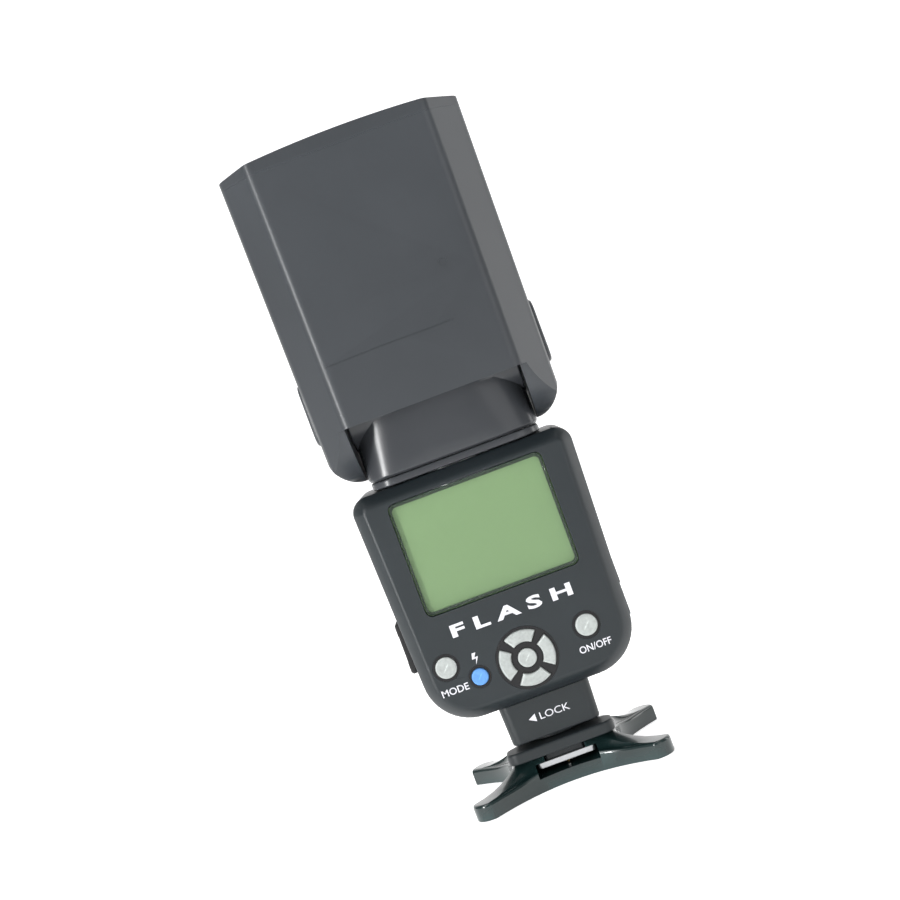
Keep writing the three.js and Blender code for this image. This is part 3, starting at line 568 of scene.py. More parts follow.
def make_shoe_plate():
    low, high = extent("shoe_plate")[2]
    plate = pulled("shoe_plate", section("shoe_plate", "z", 1), "z", soft_levels(low, PLATE_TOP, 0.25, 2))
    cut_pin_holes(plate, low - 1, high + 1)
    soften(plate, 0.12)
    fit(plate, "flash_body", "steel", steel, "shoe_plate")


make_shoe_plate()


def make_pin(node, body, slot, material, radius):
    """A pin with a turned collar and a domed end that stands a little below the plate."""
    z0, z1 = extent(node)[2]
    profile = [(0.02, z0), (radius * 0.45, z0 + 0.05), (radius * 0.72, z0 + 0.25), (radius * 0.78, z0 + 0.6)]
    profile += [
        (radius * 0.8, z0 + 0.9), (radius, z0 + 1.05), (radius, z1 - 0.3), (radius - 0.25, z1), (0.02, z1)
    ]
    pin = turned(node, profile, centre=middle_of(node, "z"), sides=24)
    finish(pin, body, slot, material, node)


make_pin("shoe_contact_pin", "shoe_contact", "brass", pin_brass, 1.25)
make_pin("lock_pin", "lock_pin", "steel", steel, 0.95)

# ---------------------------------------------------------------- foot base, lock lever and foot block
# The black plastic foot: a low base, the thin lever that turns in the slot above it, and the block that
# carries the housing. The arrow and the word beside it are printed in white.

foot_plastic = plastic(
    "foot_plastic", (0.011, 0.015, 0.017), 0.42, grain_size=0.4, grain_depth=0.02, cloudiness=0.35
)
white_print = plastic(
    "white_print", (0.46, 0.46, 0.49), 0.55, grain_size=0.3, grain_depth=0.004, speckle=0.25
)


def make_foot_base():
    """The base has a wide lip on the display side, and a slim neck below that reaches down to the plate."""
    (x0, x1), (y0, y1), (z0, z1) = extent("foot_base")
    lip_depth, heel_half, neck_width, neck_length = 11.0, 13.8, 12.3, 26
    lip = rounded_box_outline(x1 - x0, lip_depth, 3.5, (0, y0 + lip_depth / 2))
    base = pulled("foot_base", lip, "z", soft_levels(z0, z1, 0.7, 3, 0.4))
    heel = rounded_box_outline(2 * heel_half, y1 - y0 - 2, 4, (0, 1))
    neck = rounded_box_outline(neck_width, neck_length, 0.6)
    combine(
        base,
        pulled("heel", heel, "z", soft_levels(z0 + 0.02, z1 - 0.02, 0.5, 3, 0.4)),
        straight("neck", neck, "z", PLATE_TOP + 0.05, z0 + 0.5),
        how="UNION",
    )
    cut_pin_holes(base, 5, z1 + 1)
    finish(base, "flash_body", "body_plastic", foot_plastic, "foot_base")


make_foot_base()


def make_lock_lever():
    (_, radius), (_, y1), (z0, z1) = extent("lock_lever")
    disc_top, tab_width, tab_depth, arm_length, arm_middle = 15.0, 8.0, 3.0, 14, 15
    lever = bar("lock_lever", "z", radius, z0, disc_top, (0, 0), edge=0.15, sides=48)
    arm_plan = rounded_box_outline(tab_width, arm_length, 0.5, (0, arm_middle))
    arm = pulled("arm", arm_plan, "z", soft_levels(z0, disc_top, 0.15, 1))
    grip = rounded_box_outline(tab_width, tab_depth, 1.2, (0, y1 - tab_depth / 2))
    tab = pulled("tab", grip, "z", soft_levels(z0, z1, 0.4, 2, 0.15))
    combine(lever, arm, tab, how="UNION")
    for step in range(-2, 3):
        groove = drill("z", 0.28, z0 + 0.6, z1 - 0.5, (step * 1.2, y1 + 0.05), sides=12)
        combine(lever, groove)
    finish(lever, "lock_lever", "body_plastic", foot_plastic, "lock_lever")


make_lock_lever()


def make_foot_block():
    """The block narrows a little towards the lever."""
    z0, z1 = extent("foot_block")[2]
    narrowing = 0.034
    rings = []
    for amount, height in soft_levels(z0, z1, 0.35, 2, 0.6):
        share = 1 - narrowing * (z1 - height) / (z1 - z0)
        outline = inset(section("foot_block", "z", 3), amount)
        rings.append([(x * share, y, height) for x, y in outline])
    piece = skin("foot_block", rings)
    finish(piece, "flash_body", "body_plastic", foot_plastic, "foot_block")


make_foot_block()


def lettering(name, words, height, width, centre, face, bold=0.0, thickness=0.05):
    """Printed words that look towards -Y, as tall and as wide as given, on a face at that depth."""
    line = bpy.data.curves.new(name, "FONT")
    line.body = words
    line.size = 1
    line.offset = bold
    line.extrude = 0.5
    line.resolution_u = 3
    writer = bpy.data.objects.new(name + "_writer", line)
    bpy.context.scene.collection.objects.link(writer)
    mesh = bpy.data.meshes.new_from_object(writer.evaluated_get(bpy.context.evaluated_depsgraph_get()))
    mesh.name = name
    bpy.data.objects.remove(writer)
    bpy.data.curves.remove(line)
    across = [v.co.x for v in mesh.vertices]
    upright = [v.co.y for v in mesh.vertices]
    left, right, low, high = min(across), max(across), min(upright), max(upright)
    for vertex in mesh.vertices:
        x, y, z = vertex.co
        vertex.co.x = (centre[0] + width * ((x - left) / (right - left) - 0.5)) * MM
        vertex.co.z = (centre[1] + height * ((y - low) / (high - low) - 0.5)) * MM
        vertex.co.y = (face + (0.01 - thickness if z > 0 else 0.01)) * MM
    piece = bpy.data.objects.new(name, mesh)
    bpy.context.scene.collection.objects.link(piece)
    work = bmesh.new()
    work.from_mesh(mesh)
    bmesh.ops.remove_doubles(work, verts=work.verts, dist=0.000002)
    bmesh.ops.recalc_face_normals(work, faces=work.faces)
    work.to_mesh(mesh)
    work.free()
    fit(piece, "flash_body", "white_card", white_print)


def printed_shape(name, outline, face, thickness=0.05):
    """A printed mark that looks towards -Y."""
    mark = pulled(name, outline, "y", [(0, face - thickness), (0, face + 0.01)])
    fit(mark, "flash_body", "white_card", white_print)


def print_lock_mark():
    face = extent("foot_block")[1][0]
    line = 21.95
    printed_shape("lock_arrow", [(-6.9, line), (-4.6, line - 1.25), (-4.6, line + 1.25)], face)
    lettering("lock_word", "LOCK", 2.2, 9.6, (1.5, line), face)


print_lock_mark()

# ---------------------------------------------------------------- rear cover
# The half of the housing that carries the display and the keys, moulded in black plastic with a soft broad
# bevel all round. The keys sit in shallow sunk rings, and the words by them are printed.

body_plastic = plastic(
    "body_plastic", (0.0125, 0.0175, 0.0205), 0.40,
    grain_size=0.35, grain_depth=0.012, cloudiness=0.5, cloud_size=45,
)


WALL, BEVEL_RUN = 2.2, 4.4
WINDOW_GAP, KEY_GAP, RING_DEPTH, RING_WIDTH = 0.5, 0.3, 0.45, 0.95
PAD_RADIUS, PAD_TURNS, ROUND_KEYS = 9.75, (0, 90, 180, 270), ("mode_key", "pilot_key", "power_key")


def body_outline():
    """Front view of the housing: the sides lean in towards the foot, with large corners there."""
    (_, half), _, (low, high) = extent("rear_cover")
    low_half, small, large = 33.6, 5.0, 15.0
    points = arc((low_half - large, low + large), large, -90, 0, 12)
    points += arc((half - small, high - small), small, 0, 90, 8)
    points += arc((small - half, high - small), small, 90, 180, 8)
    return points + arc((large - low_half, low + large), large, 180, 270, 12)


def bevel_levels(face, side_start, split, step):
    """Inset and depth pairs from the face over the bevel to the split line. Step is -1 or 1 in depth."""
    run = side_start - face
    shape = [
        (4.1, 0), (3.7, 0.015), (3.3, 0.06), (2.7, 0.17), (1.7, 0.42), (0.9, 0.66), (0.4, 0.84), (0.12, 0.96)
    ]
    levels = [(amount, face + run * share) for amount, share in shape]
    return levels + [(0, side_start - 0.1 * step), (0, split + 0.35 * step), (0.3, split)]


def key_place(key):
    """Middle and radius of a round key."""
    left, right = extent(key)[0]
    return middle_of(key, "y"), (right - left) / 2 - 0.8


def pad_sector(inner, outer, half_angle, turn):
    """A ring segment about the middle of the pad."""
    centre = key_place("set_key")[0]
    outline = arc(centre, outer, turn - half_angle, turn + half_angle, 10)
    return outline + arc(centre, inner, turn + half_angle, turn - half_angle, 8)


def cut_side_openings(cover):
    """The battery door's opening, the socket hole and the hole for the swivel, shared by both covers."""
    gap, (_, outer), (y0, y1), (z0, z1) = 0.3, *extent("battery_door")
    opening = block("door_opening", (outer - 5, outer + 9), (y0 - gap, y1 + gap), (z0 - gap, z1 + gap))
    socket = drill("x", 3.4, -40, -28, middle_of("sync_socket", "x"))
    combine(cover, opening, socket, drill("z", 13.4, 98, 110, (0, 0), sides=48))


def make_rear_cover():
    face, split = extent("rear_cover")[1]
    split += 0.1
    outside, inside, sunk = face - 1, face + WALL + 1, face + RING_DEPTH
    cover = pulled("rear_cover", body_outline(), "y", bevel_levels(face, face + BEVEL_RUN, split, -1))
    hollow = [(4.8, face + WALL), (WALL + 0.2, face + WALL + BEVEL_RUN), (WALL, split + 2)]
    window = section("display_window", "y", 2.3, 4, WINDOW_GAP)
    combine(cover, pulled("hollow", body_outline(), "y", hollow))
    combine(cover, straight("window_opening", window, "y", outside, inside))
    for key in (*ROUND_KEYS, "set_key"):
        centre, radius = key_place(key)
        ring, sides = (PAD_RADIUS, 72) if key == "set_key" else (radius + RING_WIDTH, 48)
        combine(cover, drill("y", ring, outside, sunk, centre, sides=sides))
        combine(cover, drill("y", radius + KEY_GAP, outside, inside, centre, sides=40))
    for turn in PAD_TURNS:
        sector = pad_sector(4.6, 9.1, 37, turn)
        combine(cover, straight("sector", sector, "y", outside, inside))
    cut_side_openings(cover)
    soften(cover, 0.16, 2, 40)
    fit(cover, "flash_body", "body_plastic", body_plastic, "rear_cover")


make_rear_cover()
# Near-black painted shade for the floor of the sunk rings round the keys.
key_recess_shade = plastic("key_recess_shade", (0.004, 0.004, 0.005), 0.45, grain_size=0.5, grain_depth=0.004)


def make_key_recess_shade():
    """Thin near-black rings laid in the sunk rings round the keys: painted shade in the recesses, so that the
    keys stand out.
    """
    face, play = extent("rear_cover")[1][0], 0.03
    front, back = face + 0.08, face + RING_DEPTH - 0.01
    for key in (*ROUND_KEYS, "set_key"):
        centre, radius = key_place(key)
        name, outer, sides = key + "_shade_ring", radius + RING_WIDTH - play, 48
        if key == "set_key":
            name, outer, sides = "pad_shade_ring", PAD_RADIUS - play, 72
        ring = bar(name, "y", outer, front, back, centre, edge=0.1, sides=sides)
        combine(ring, drill("y", radius + 0.2, face - 1, face + 1, centre, sides=40))
        if key == "set_key":
            for turn in PAD_TURNS:
                sector = pad_sector(4.75, 8.95, 35.8, turn)
                combine(ring, straight("sector", sector, "y", face - 1, face + 1))
        finish(ring, "flash_body", "rubber", key_recess_shade)


make_key_recess_shade()


def print_rear_words():
    face, small = extent("rear_cover")[1][0], 2.2
    mode_x, pilot_x, power_x = (middle_of(key, "y")[0] for key in ROUND_KEYS)
    lettering("flash_word", "F L A S H", 4.0, 39.0, (-0.1, 56.5), face, bold=0.035)
    lettering("mode_word", "MODE", small, 8.6, (mode_x + 0.3, 39.4), face, bold=0.01)
    lettering("power_word", "ON/OFF", small, 10.2, (power_x + 0.4, 37.5), face, bold=0.01)
    x, z = pilot_x + 0.4, 46.3
    bolt = [(-0.9, 0.1), (0.35, 0.1), (-0.25, -1.8), (1.1, 0.55), (0.05, 0.55), (0.75, 1.9), (-0.45, 1.9)]
    printed_shape("flash_mark", [(x + dx, z + dz) for dx, dz in bolt], face)


print_rear_words()

# ---------------------------------------------------------------- front cover
# The other half of the housing. It has a dark red window for the focus lamp and the slave eye, a ribbed thumb
# rest below it, and four screws that hold the halves together.


SCREWS = ((-19.2, 48), (19.2, 48), (-24, 96), (24, 96))


def make_front_cover():
    split, face = extent("front_cover")[1]
    split -= 0.1
    levels = list(reversed(bevel_levels(face, face - BEVEL_RUN, split, 1)))
    cover = pulled("front_cover", body_outline(), "y", levels)
    hollow = [(WALL, split - 2), (WALL + 0.2, face - WALL - BEVEL_RUN), (4.8, face - WALL)]
    combine(cover, pulled("hollow", body_outline(), "y", hollow))
    window = section("front_window", "y", 4.2, 5, WINDOW_GAP)
    combine(cover, straight("window_opening", window, "y", face - WALL - 1, face + 1))
    top_rib, rib_step = 57, 2.2
    for number in range(5):
        groove = rounded_box_outline(30 - 2 * number, 0.9, 0.4, (0, top_rib - rib_step * number), 3)
        combine(cover, straight("groove", groove, "y", face - 0.5, face + 1))
    for index in (0, 2, 1, 3):
        combine(cover, drill("y", 2.3, face - 1.4, face + 1, SCREWS[index]))
    cut_side_openings(cover)
    soften(cover, 0.16, 2, 40)
    fit(cover, "flash_body", "body_plastic", body_plastic, "front_cover")


def make_cover_screws():
    face, long, short = extent("front_cover")[1][1], 1.15, 0.22
    for number, (x, z) in enumerate(SCREWS):
        screw = bar(f"cover_screw_{number}", "y", 1.9, face - 1.35, face - 0.45, (x, z), edge=0.3, sides=24)
        for half_x, half_z in ((long, short), (short, long)):
            combine(
                screw, block("slot", (x - half_x, x + half_x), (face - 1.0, face), (z - half_z, z + half_z))
            )
        finish(screw, "flash_body", "steel", steel)


make_front_cover()
make_cover_screws()

# ---------------------------------------------------------------- display
# A clear acrylic window with a dark printed border, over a grey-green liquid crystal panel. The panel is
# unlit and even, with only a faint drift of tone.

clear_acrylic = plastic(
    "clear_acrylic", (0.12, 0.18, 0.12), 0.06, grain_size=9, grain_depth=0.001, cloudiness=0.05
)
clear_acrylic.node_tree.nodes["Principled BSDF"].inputs["Alpha"].default_value = 0.12
display_green = plastic(
    "display_green", (0.215, 0.340, 0.155), 0.6,
    grain_size=0.5, grain_depth=0.0004, cloudiness=0.14, cloud_size=18, edge_lift=0.0, speckle=0.02,
)
border_black = plastic("border_black", (0.006, 0.010, 0.009), 0.35, grain_size=0.5, grain_depth=0.003)


def make_display():
    (x0, x1), (front, back), (z0, z1) = extent("display_window")
    middle_x, middle_z = middle_of("display_window", "y")
    glass = pulled(
        "display_window", section("display_window", "y", 2.1), "y", soft_levels(front, back, 0.3, 3, 0.1)
    )
    finish(glass, "flash_body", "clear_plastic", clear_acrylic, "display_window")
    outer = section("display_window", "y", 2.1, grow=-0.1)
    border = straight("display_border", outer, "y", back + 0.05, back + 0.35)
    inner = rounded_box_outline(x1 - x0 - 1.5, z1 - z0 - 2.1, 1.6, (middle_x - 0.1, middle_z - 0.1))
    combine(border, straight("border_opening", inner, "y", back - 1, back + 1))
    finish(border, "flash_body", "board", border_black)
    panel = pulled("display_panel", section("display_panel", "y", 1, 3), "y",
                   soft_levels(*extent("display_panel")[1], 0.2, 1, 0.2))
    finish(panel, "flash_body", "display_green", display_green, "display_panel")


make_display()

# ---------------------------------------------------------------- keys
# Eight small keys moulded in pale grey, the pilot key in blue, each with a low dome, a soft edge and a flange
# behind the cover. Four of them make the ring round the set key.


def key_material(name, colour):
    return plastic(
        name, colour, 0.5, grain_size=0.9, grain_depth=0.05, speckle=0.5, cloudiness=0.3, cloud_size=300
    )


key_grey = key_material("key_grey", (0.36, 0.385, 0.375))
key_blue = key_material("key_blue", (0.10, 0.27, 0.60))


def make_round_key(node, slot, material):
    centre, radius = key_place(node)
    y0, y1 = extent(node)[1]
    flange_back, flange_radius = y1 - 0.8, radius + 0.7
    profile = [(0.02, y0 + 0.12), (radius * 0.3, y0 + 0.10), (radius * 0.62, y0 + 0.03), (radius * 0.8, y0)]
    profile += [
        (radius * 0.92, y0 + 0.08), (radius * 0.985, y0 + 0.25), (radius, y0 + 0.55), (radius, flange_back)
    ]
    profile += [(flange_radius, flange_back + 0.05), (flange_radius, y1), (0.02, y1)]
    key = turned(node, profile, axis="y", centre=centre, sides=40)
    finish(key, node, slot, material, node)


for round_key in ("mode_key", "power_key", "set_key"):
    make_round_key(round_key, "key_grey", key_grey)
make_round_key("pilot_key", "key_blue", key_blue)


def make_pad_key(node, turn):
    y0, y1 = extent(node)[1]
    levels = [(0.75, y0), (0.4, y0 + 0.08), (0.12, y0 + 0.28), (0, y0 + 0.6), (0, y1 - 0.7)]
    key = pulled(node, pad_sector(4.95, 8.75, 34.5, turn), "y", levels)
    flange = straight("flange", pad_sector(4.7, 9.2, 37, turn), "y", y1 - 0.75, y1)
    combine(key, flange, how="UNION")
    finish(key, node, "key_grey", key_grey, node)


for pad_node, pad_turn in zip(("right_key", "up_key", "left_key", "down_key"), PAD_TURNS):
    make_pad_key(pad_node, pad_turn)

# ---------------------------------------------------------------- inside the housing
# The rubber key mat, the green circuit board with its parts, the sleeved flash capacitor, the wound
# transformer and the battery tray with its sprung contacts.

rubber = plastic("rubber", (0.018, 0.018, 0.019), 0.75, grain_size=0.6, grain_depth=0.01)
board_green = plastic(
    "board_green", (0.016, 0.10, 0.035), 0.35, grain_size=1.6, grain_depth=0.02, speckle=0.6
)
sleeve_black = plastic(
    "sleeve_black", (0.012, 0.012, 0.014), 0.3, grain_size=3, grain_depth=0.01, cloudiness=0.2
)
ferrite = plastic("ferrite", (0.035, 0.033, 0.032), 0.6, grain_size=0.3, grain_depth=0.02, speckle=0.4)
copper = plastic("winding_copper", (0.55, 0.22, 0.07), 0.35, grain_size=0.5, grain_depth=0.02, metallic=0.9)
tray_plastic = plastic("tray_plastic", (0.022, 0.022, 0.024), 0.5, grain_size=0.5, grain_depth=0.012)


def moulded_slab(node, axis, corner, edge, steps=6, edge_steps=1, low_edge=None):
    """A slab over a solid of the frame, with round corners and soft edges."""
    levels = soft_levels(*extent(node)["xyz".index(axis)], edge, edge_steps, low_edge)
    return pulled(node, section(node, axis, corner, steps), axis, levels)


def make_board():
    back = extent("main_board")[1][1]
    board = pulled(
        "main_board", section("main_board", "y", 12, 8), "y", [(0, extent("main_board")[1][0]), (0, back)]
    )
    finish(board, "flash_body", "board", board_green, "main_board")
    chips = (
        (-14, 79, 5, 5), (2, 77, 4, 3), (14, 82, 3, 3), (-20, 90, 2, 1.2), (22, 77, 1.2, 2), (6, 92, 3, 1.2)
    )
    for number, (x, z, half_x, half_z) in enumerate(chips):
        shape = rounded_box_outline(2 * half_x, 2 * half_z, 0.3, (x, z), 2)
        chip = pulled(f"board_chip_{number}", shape, "y", soft_levels(back - 0.05, back + 1.1, 0.15, 1, 0.05))
        finish(chip, "flash_body", "ferrite", ferrite)


def make_capacitor():
    """A can in a shrunk sleeve, with a rolled groove near one end."""
    (x0, x1), (y0, y1), _ = extent("flash_capacitor")
    radius = (y1 - y0) / 2
    profile = [
        (0.02, x0), (radius - 2.5, x0), (radius - 1.6, x0 + 0.35), (radius - 0.5, x0), (radius, x0 + 0.6)
    ]
    profile += [(radius, x0 + 2.2), (radius - 0.7, x0 + 2.9), (radius, x0 + 3.6), (radius, x1 - 0.8)]
    profile += [(radius - 0.6, x1), (radius - 1.6, x1), (radius - 1.9, x1 - 0.4), (0.02, x1 - 0.4)]
    can = turned("flash_capacitor", profile, axis="x", centre=middle_of("flash_capacitor", "x"), sides=48)
    finish(can, "flash_body", "sleeve", sleeve_black, "flash_capacitor")


def make_transformer():
    (x0, x1), (y0, y1), (z0, z1) = extent("transformer")
    yoke_y, yoke_z, turns = 2.2, 2.4, 12
    core = moulded_slab("transformer", "z", 0.5, 0.3, 2)
    combine(
        core, block("winding_room", (x0 - 1, x1 + 1), (y0 + yoke_y, y1 - yoke_y), (z0 + yoke_z, z1 - yoke_z))
    )
    finish(core, "flash_body", "ferrite", ferrite, "transformer")
    outline = rounded_box_outline(y1 - y0 - 4.8, z1 - z0 - 5.2, 1.2, middle_of("transformer", "x"), 3)
    rings = []
    for step in range(turns * 2 + 1):
        along = x0 + 0.7 + (x1 - x0 - 1.4) * step / (turns * 2)
        rings.append([(along, y, z) for y, z in inset(outline, 0.0 if step % 2 else 0.22)])
    finish(skin("transformer_winding", rings), "flash_body", "brass", copper)


def make_tray():
    (x0, x1), _, (z0, z1) = extent("battery_tray")
    wall, rib_height, wide, slim, middle = 1.2, 1.1, 0.9, 0.5, middle_of("battery_tray", "x")[0]
    shape = section("battery_tray", "x", 1.5, 4)
    tray = pulled("battery_tray", shape, "x", [(0.4, x0), (0, x0 + 0.4), (0, x1)])
    combine(tray, straight("bay", inset(shape, wall), "x", x0 + wall, x1 + 1))
    finish(tray, "flash_body", "tray_plastic", tray_plastic, "battery_tray")
    for number, (low, foot, crest) in enumerate(
        ((z0 + wall, wide, slim), (z1 - wall - rib_height, slim, wide))
    ):
        high = low + rib_height
        wedge = [(middle - foot, low), (middle + foot, low), (middle + crest, high), (middle - crest, high)]
        rib = straight(f"tray_rib_{number}", wedge, "x", x0 + 3, x1 - 0.6)
        soften(rib, 0.1, 1)
        fit(rib, "flash_body", "tray_plastic", tray_plastic)


def make_coil(name, base):
    """A conical contact spring that stands along X from its base."""
    wide, narrow, length, turns, wire, sides, steps = 3.4, 1.6, 4.0, 3, 0.25, 8, 48
    rings = []
    for step in range(steps + 1):
        share = step / steps
        angle = 2 * math.pi * turns * share
        outward = Vector((0, math.cos(angle), math.sin(angle)))
        centre = Vector(base) + Vector((length * share, 0, 0)) + outward * (wide + (narrow - wide) * share)
        ring = []
        for side in range(sides):
            around = 2 * math.pi * side / sides
            ring.append(centre + outward * wire * math.cos(around) + Vector((wire * math.sin(around), 0, 0)))
        rings.append(ring)
    finish(skin(name, rings), "flash_body", "steel", steel)


CELL_ENDS = [(y, z) for y in (-6.3, 8.9) for z in (49.7, 64.3)]


def make_contacts():
    """Two sprung steel plates with a dent for each cell's end, and two coils on the one in the tray."""
    face = extent("tray_contact_plate")[0][1]
    plate = moulded_slab("tray_contact_plate", "x", 1, 0.1, 3)
    for cell in CELL_ENDS:
        combine(plate, drill("x", 2.6, face - 0.25, face + 1, cell, sides=24))
    finish(plate, "flash_body", "steel", steel, "tray_contact_plate")
    make_coil("tray_spring_low", (face + 0.1, *CELL_ENDS[0]))
    make_coil("tray_spring_high", (face + 0.1, *CELL_ENDS[3]))
    face = extent("door_contact_plate")[0][0]
    plate = moulded_slab("door_contact_plate", "x", 2, 0.1, 4)
    for cell in CELL_ENDS:
        combine(plate, drill("x", 2.2, face - 1, face + 0.25, cell, sides=24))
    finish(plate, "battery_door", "steel", steel, "door_contact_plate")


finish(moulded_slab("key_mat", "y", 11, 0.12, 8), "flash_body", "rubber", rubber, "key_mat")
make_board()
make_capacitor()
make_transformer()
make_tray()
make_contacts()
finish_node("sync_socket", steel)
finish_node("slave_sensor", sleeve_black)

# ---------------------------------------------------------------- battery door, latch, side and front windows
# The door closes the bay on the right and turns on a steel pin in its barrel, with moulded grip ridges and a
# small sliding latch. A soft rubber flap covers the sync socket on the left, and a dark red window the front.


def make_door():
    (inner, _), (y0, y1), (z0, z1) = extent("battery_door")
    outer, barrel, bore, barrel_x, barrel_y = 34.0, 1.5, 1.05, 32.7, y1 - 1.5
    width = barrel_y - y0 + 0.4
    shape = rounded_box_outline(width, z1 - z0, 1.6, (y0 + width / 2, (z0 + z1) / 2), 5)
    door = pulled("battery_door", shape, "x", soft_levels(inner, outer, 0.5, 3, 0.1))
    combine(door, bar("barrel", "z", barrel, z0, z1, (barrel_x, barrel_y)), how="UNION")
    combine(door, drill("z", bore, z0 - 1, z1 + 1, (barrel_x, barrel_y), sides=24))
    combine(door, block("latch_pocket", (33.1, 36), (-13, 0.5), (51, 61)))
    for step in range(9):
        ridge = rounded_box_outline(9, 0.8, 0.35, (9.5, 45 + 3.1 * step), 2)
        combine(door, straight("ridge", ridge, "x", outer - 0.3, outer + 2))
    arrow = [(-1.5, 66.2), (-5.5, 67.6), (-5.5, 64.8)]
    combine(door, straight("arrow", arrow, "x", outer - 0.25, outer + 2))
    soften(door, 0.1, 1)
    fit(door, "battery_door", "body_plastic", body_plastic, "battery_door")


def make_latch():
    face, (y, z) = extent("door_latch")[0][1], middle_of("door_latch", "x")
    latch = moulded_slab("door_latch", "x", 1.5, 0.3, 4, 2, 0.05)
    for step in range(-2, 3):
        rib = rounded_box_outline(0.6, 6.4, 0.25, (y + 1.4 * step, z), 2)
        combine(latch, straight("rib", rib, "x", face - 0.35, face + 1))
    finish(latch, "door_latch", "body_plastic", foot_plastic, "door_latch")


def make_socket_cover():
    """A rubber flap with three grip grooves and a hinge lip."""
    (face, _), (y0, y1), (z0, z1) = extent("socket_cover")
    flap = moulded_slab("socket_cover", "x", 1.6, 0.15, 5, 1, 0.6)
    for number in range(3):
        groove = rounded_box_outline(0.5, z1 - z0 - 5, 0.2, (y1 - 1.5 - 1.1 * number, (z0 + z1) / 2), 2)
        combine(flap, straight("groove", groove, "x", face - 1, face + 0.35))
    combine(flap, drill("z", 1.4, z0 + 4, z1 - 4, (face - 0.75, y0 + 0.6), sides=24))
    finish(flap, "socket_cover", "rubber", rubber, "socket_cover")


make_door()
make_latch()
make_socket_cover()
finish_node("door_hinge_pin", steel)


red_window = plastic("red_window", (0.16, 0.004, 0.006), 0.12, grain_size=5, grain_depth=0.004, coat=0.6)
finish(
    moulded_slab("front_window", "y", 4, 0.5, 6, 3, 0.1), "flash_body", "red_window", red_window,
    "front_window",
)

# ---------------------------------------------------------------- swivel and neck
# The steel hub turns in the top of the housing under a thin plastic collar. The neck is one moulding whose
# corners grow rounder towards the drum about the tilt axle. A sprung steel click disc sits in a pocket on
# each side.

HINGE = extent("tilt_axle")[2][0] + 3
AXLE_BORE = 3.3

head_plastic = plastic(
    "head_plastic", (0.033, 0.037, 0.042), 0.36,
    grain_size=0.3, grain_depth=0.012, cloudiness=0.35, cloud_size=28,
)
neck_plastic = plastic(
    "neck_plastic", (0.036, 0.039, 0.044), 0.24,
    grain_size=0.4, grain_depth=0.008, cloudiness=0.3, cloud_size=40,
)


def neck_outline(half_width, half_depth, power):
    """Plan of the neck: flatter sides and tighter corners as the power grows."""
    points = []
    for step in range(96):
        angle = 2 * math.pi * step / 96
        c, s = math.cos(angle), math.sin(angle)
        scale = (abs(c) ** power + abs(s) ** power) ** (-1 / power)
        points.append((half_width * c * scale, half_depth * s * scale))
    return points


def make_neck():
    (_, half), (_, depth), (low, _) = extent("neck_block")
    (disc_inner, _), (disc_low, disc_high), _ = extent("click_disc_right")
    edge, edge_share, square, roundness, gap = 0.5, 0.04, 5.0, 2.2, 0.3
    axle, top = (0, HINGE), HINGE - 4
    rings = []
    for share in (0, 0.02, edge_share, 0.2, 0.4, 0.6, 0.8, 0.95, 1):
        shrink = edge * max(0, 1 - share / edge_share)
        plan = neck_outline(half - shrink, depth - shrink, square - roundness * share ** 0.6)
        rings.append([(x, y, low + (top - low) * share) for x, y in plan])
    neck = skin("neck_block", rings)
    combine(neck, bar("drum", "x", depth, -half, half, axle, edge=edge, sides=64, steps=1), how="UNION")
    combine(neck, drill("x", AXLE_BORE, -40, 40, axle))
    pocket = (disc_high - disc_low) / 2 + gap
    for reach in ((disc_inner - gap, BEYOND), (-BEYOND, gap - disc_inner)):
        combine(neck, drill("x", pocket, *reach, axle, sides=48))
    finish(neck, "neck", "head_plastic", neck_plastic, "neck_block")


collar = moulded_slab("swivel_collar", "z", 8, 0.5, 8, 3)
finish(collar, "neck", "head_plastic", neck_plastic, "swivel_collar")
make_neck()


def make_click_disc(node):
    """A steel disc with a ring of shallow dents that the head's spring ball drops into."""
    (x0, x1), (y0, y1), _ = extent(node)
    y, z = middle_of(node, "x")
    dent_circle, dent, depth, face = 7.6, 0.7, 0.3, x1 if x1 > 0 else x0
    disc = bar(node, "x", (y1 - y0) / 2, x0, x1, (y, z), sides=48)
    combine(disc, drill("x", AXLE_BORE, x0 - 1, x1 + 1, (y, z)))
    for angle in map(math.radians, (90, 105, 120, 135, 150, 180)):
        spot = (y + dent_circle * math.cos(angle), z + dent_circle * math.sin(angle))
        combine(disc, drill("x", dent, face - depth, face + depth, spot, sides=12))
    finish(disc, "neck", "steel", steel, node)


make_click_disc("click_disc_right")
make_click_disc("click_disc_left")
finish_node("tilt_axle", steel)
finish_node("swivel_hub", steel)

# ---------------------------------------------------------------- head shells
# Two moulded halves that meet on a plane through the tilt axle. Each has a flat panel, sloping cheeks and
# straight sides that run down into the round ears.

RIM_LINE = 73.2  # height above the axle where the rim meets the shells
FLARE = 0.00037  # growth of the head's plan per millimetre of height
HALF_DEPTH, PANEL_BOTTOM, EAR_INNER, EAR_RADIUS = 27.0, -7.5, 28.3, 25.0


def head_outline(amount, height):
    """Plan of the head at a height above the axle, with the creases slightly rounded."""
    panel_half, half_width, side_half, rounding = 27.8, 37.6, 15.0, 1.7
    grow, cheek = 1 + FLARE * height, amount * 0.45
    half = [(panel_half - cheek, amount - HALF_DEPTH), (half_width - amount, cheek - side_half)]
    half += [(x, -y) for x, y in reversed(half)]
    corners = [(x * grow, y * grow) for x, y in half + [(-x, y) for x, y in reversed(half)]]
    points = []
    for index, (x, y) in enumerate(corners):
        before, after = Vector(corners[index - 1]), Vector(corners[(index + 1) % 8])
        here = Vector((x, y))
        first = here + (before - here).normalized() * rounding
        last = here + (after - here).normalized() * rounding
        for step in range(7):
            t = step / 6
            spot = first * (1 - t) ** 2 + here * 2 * t * (1 - t) + last * t ** 2
            points.append((spot.x, spot.y))
    return points


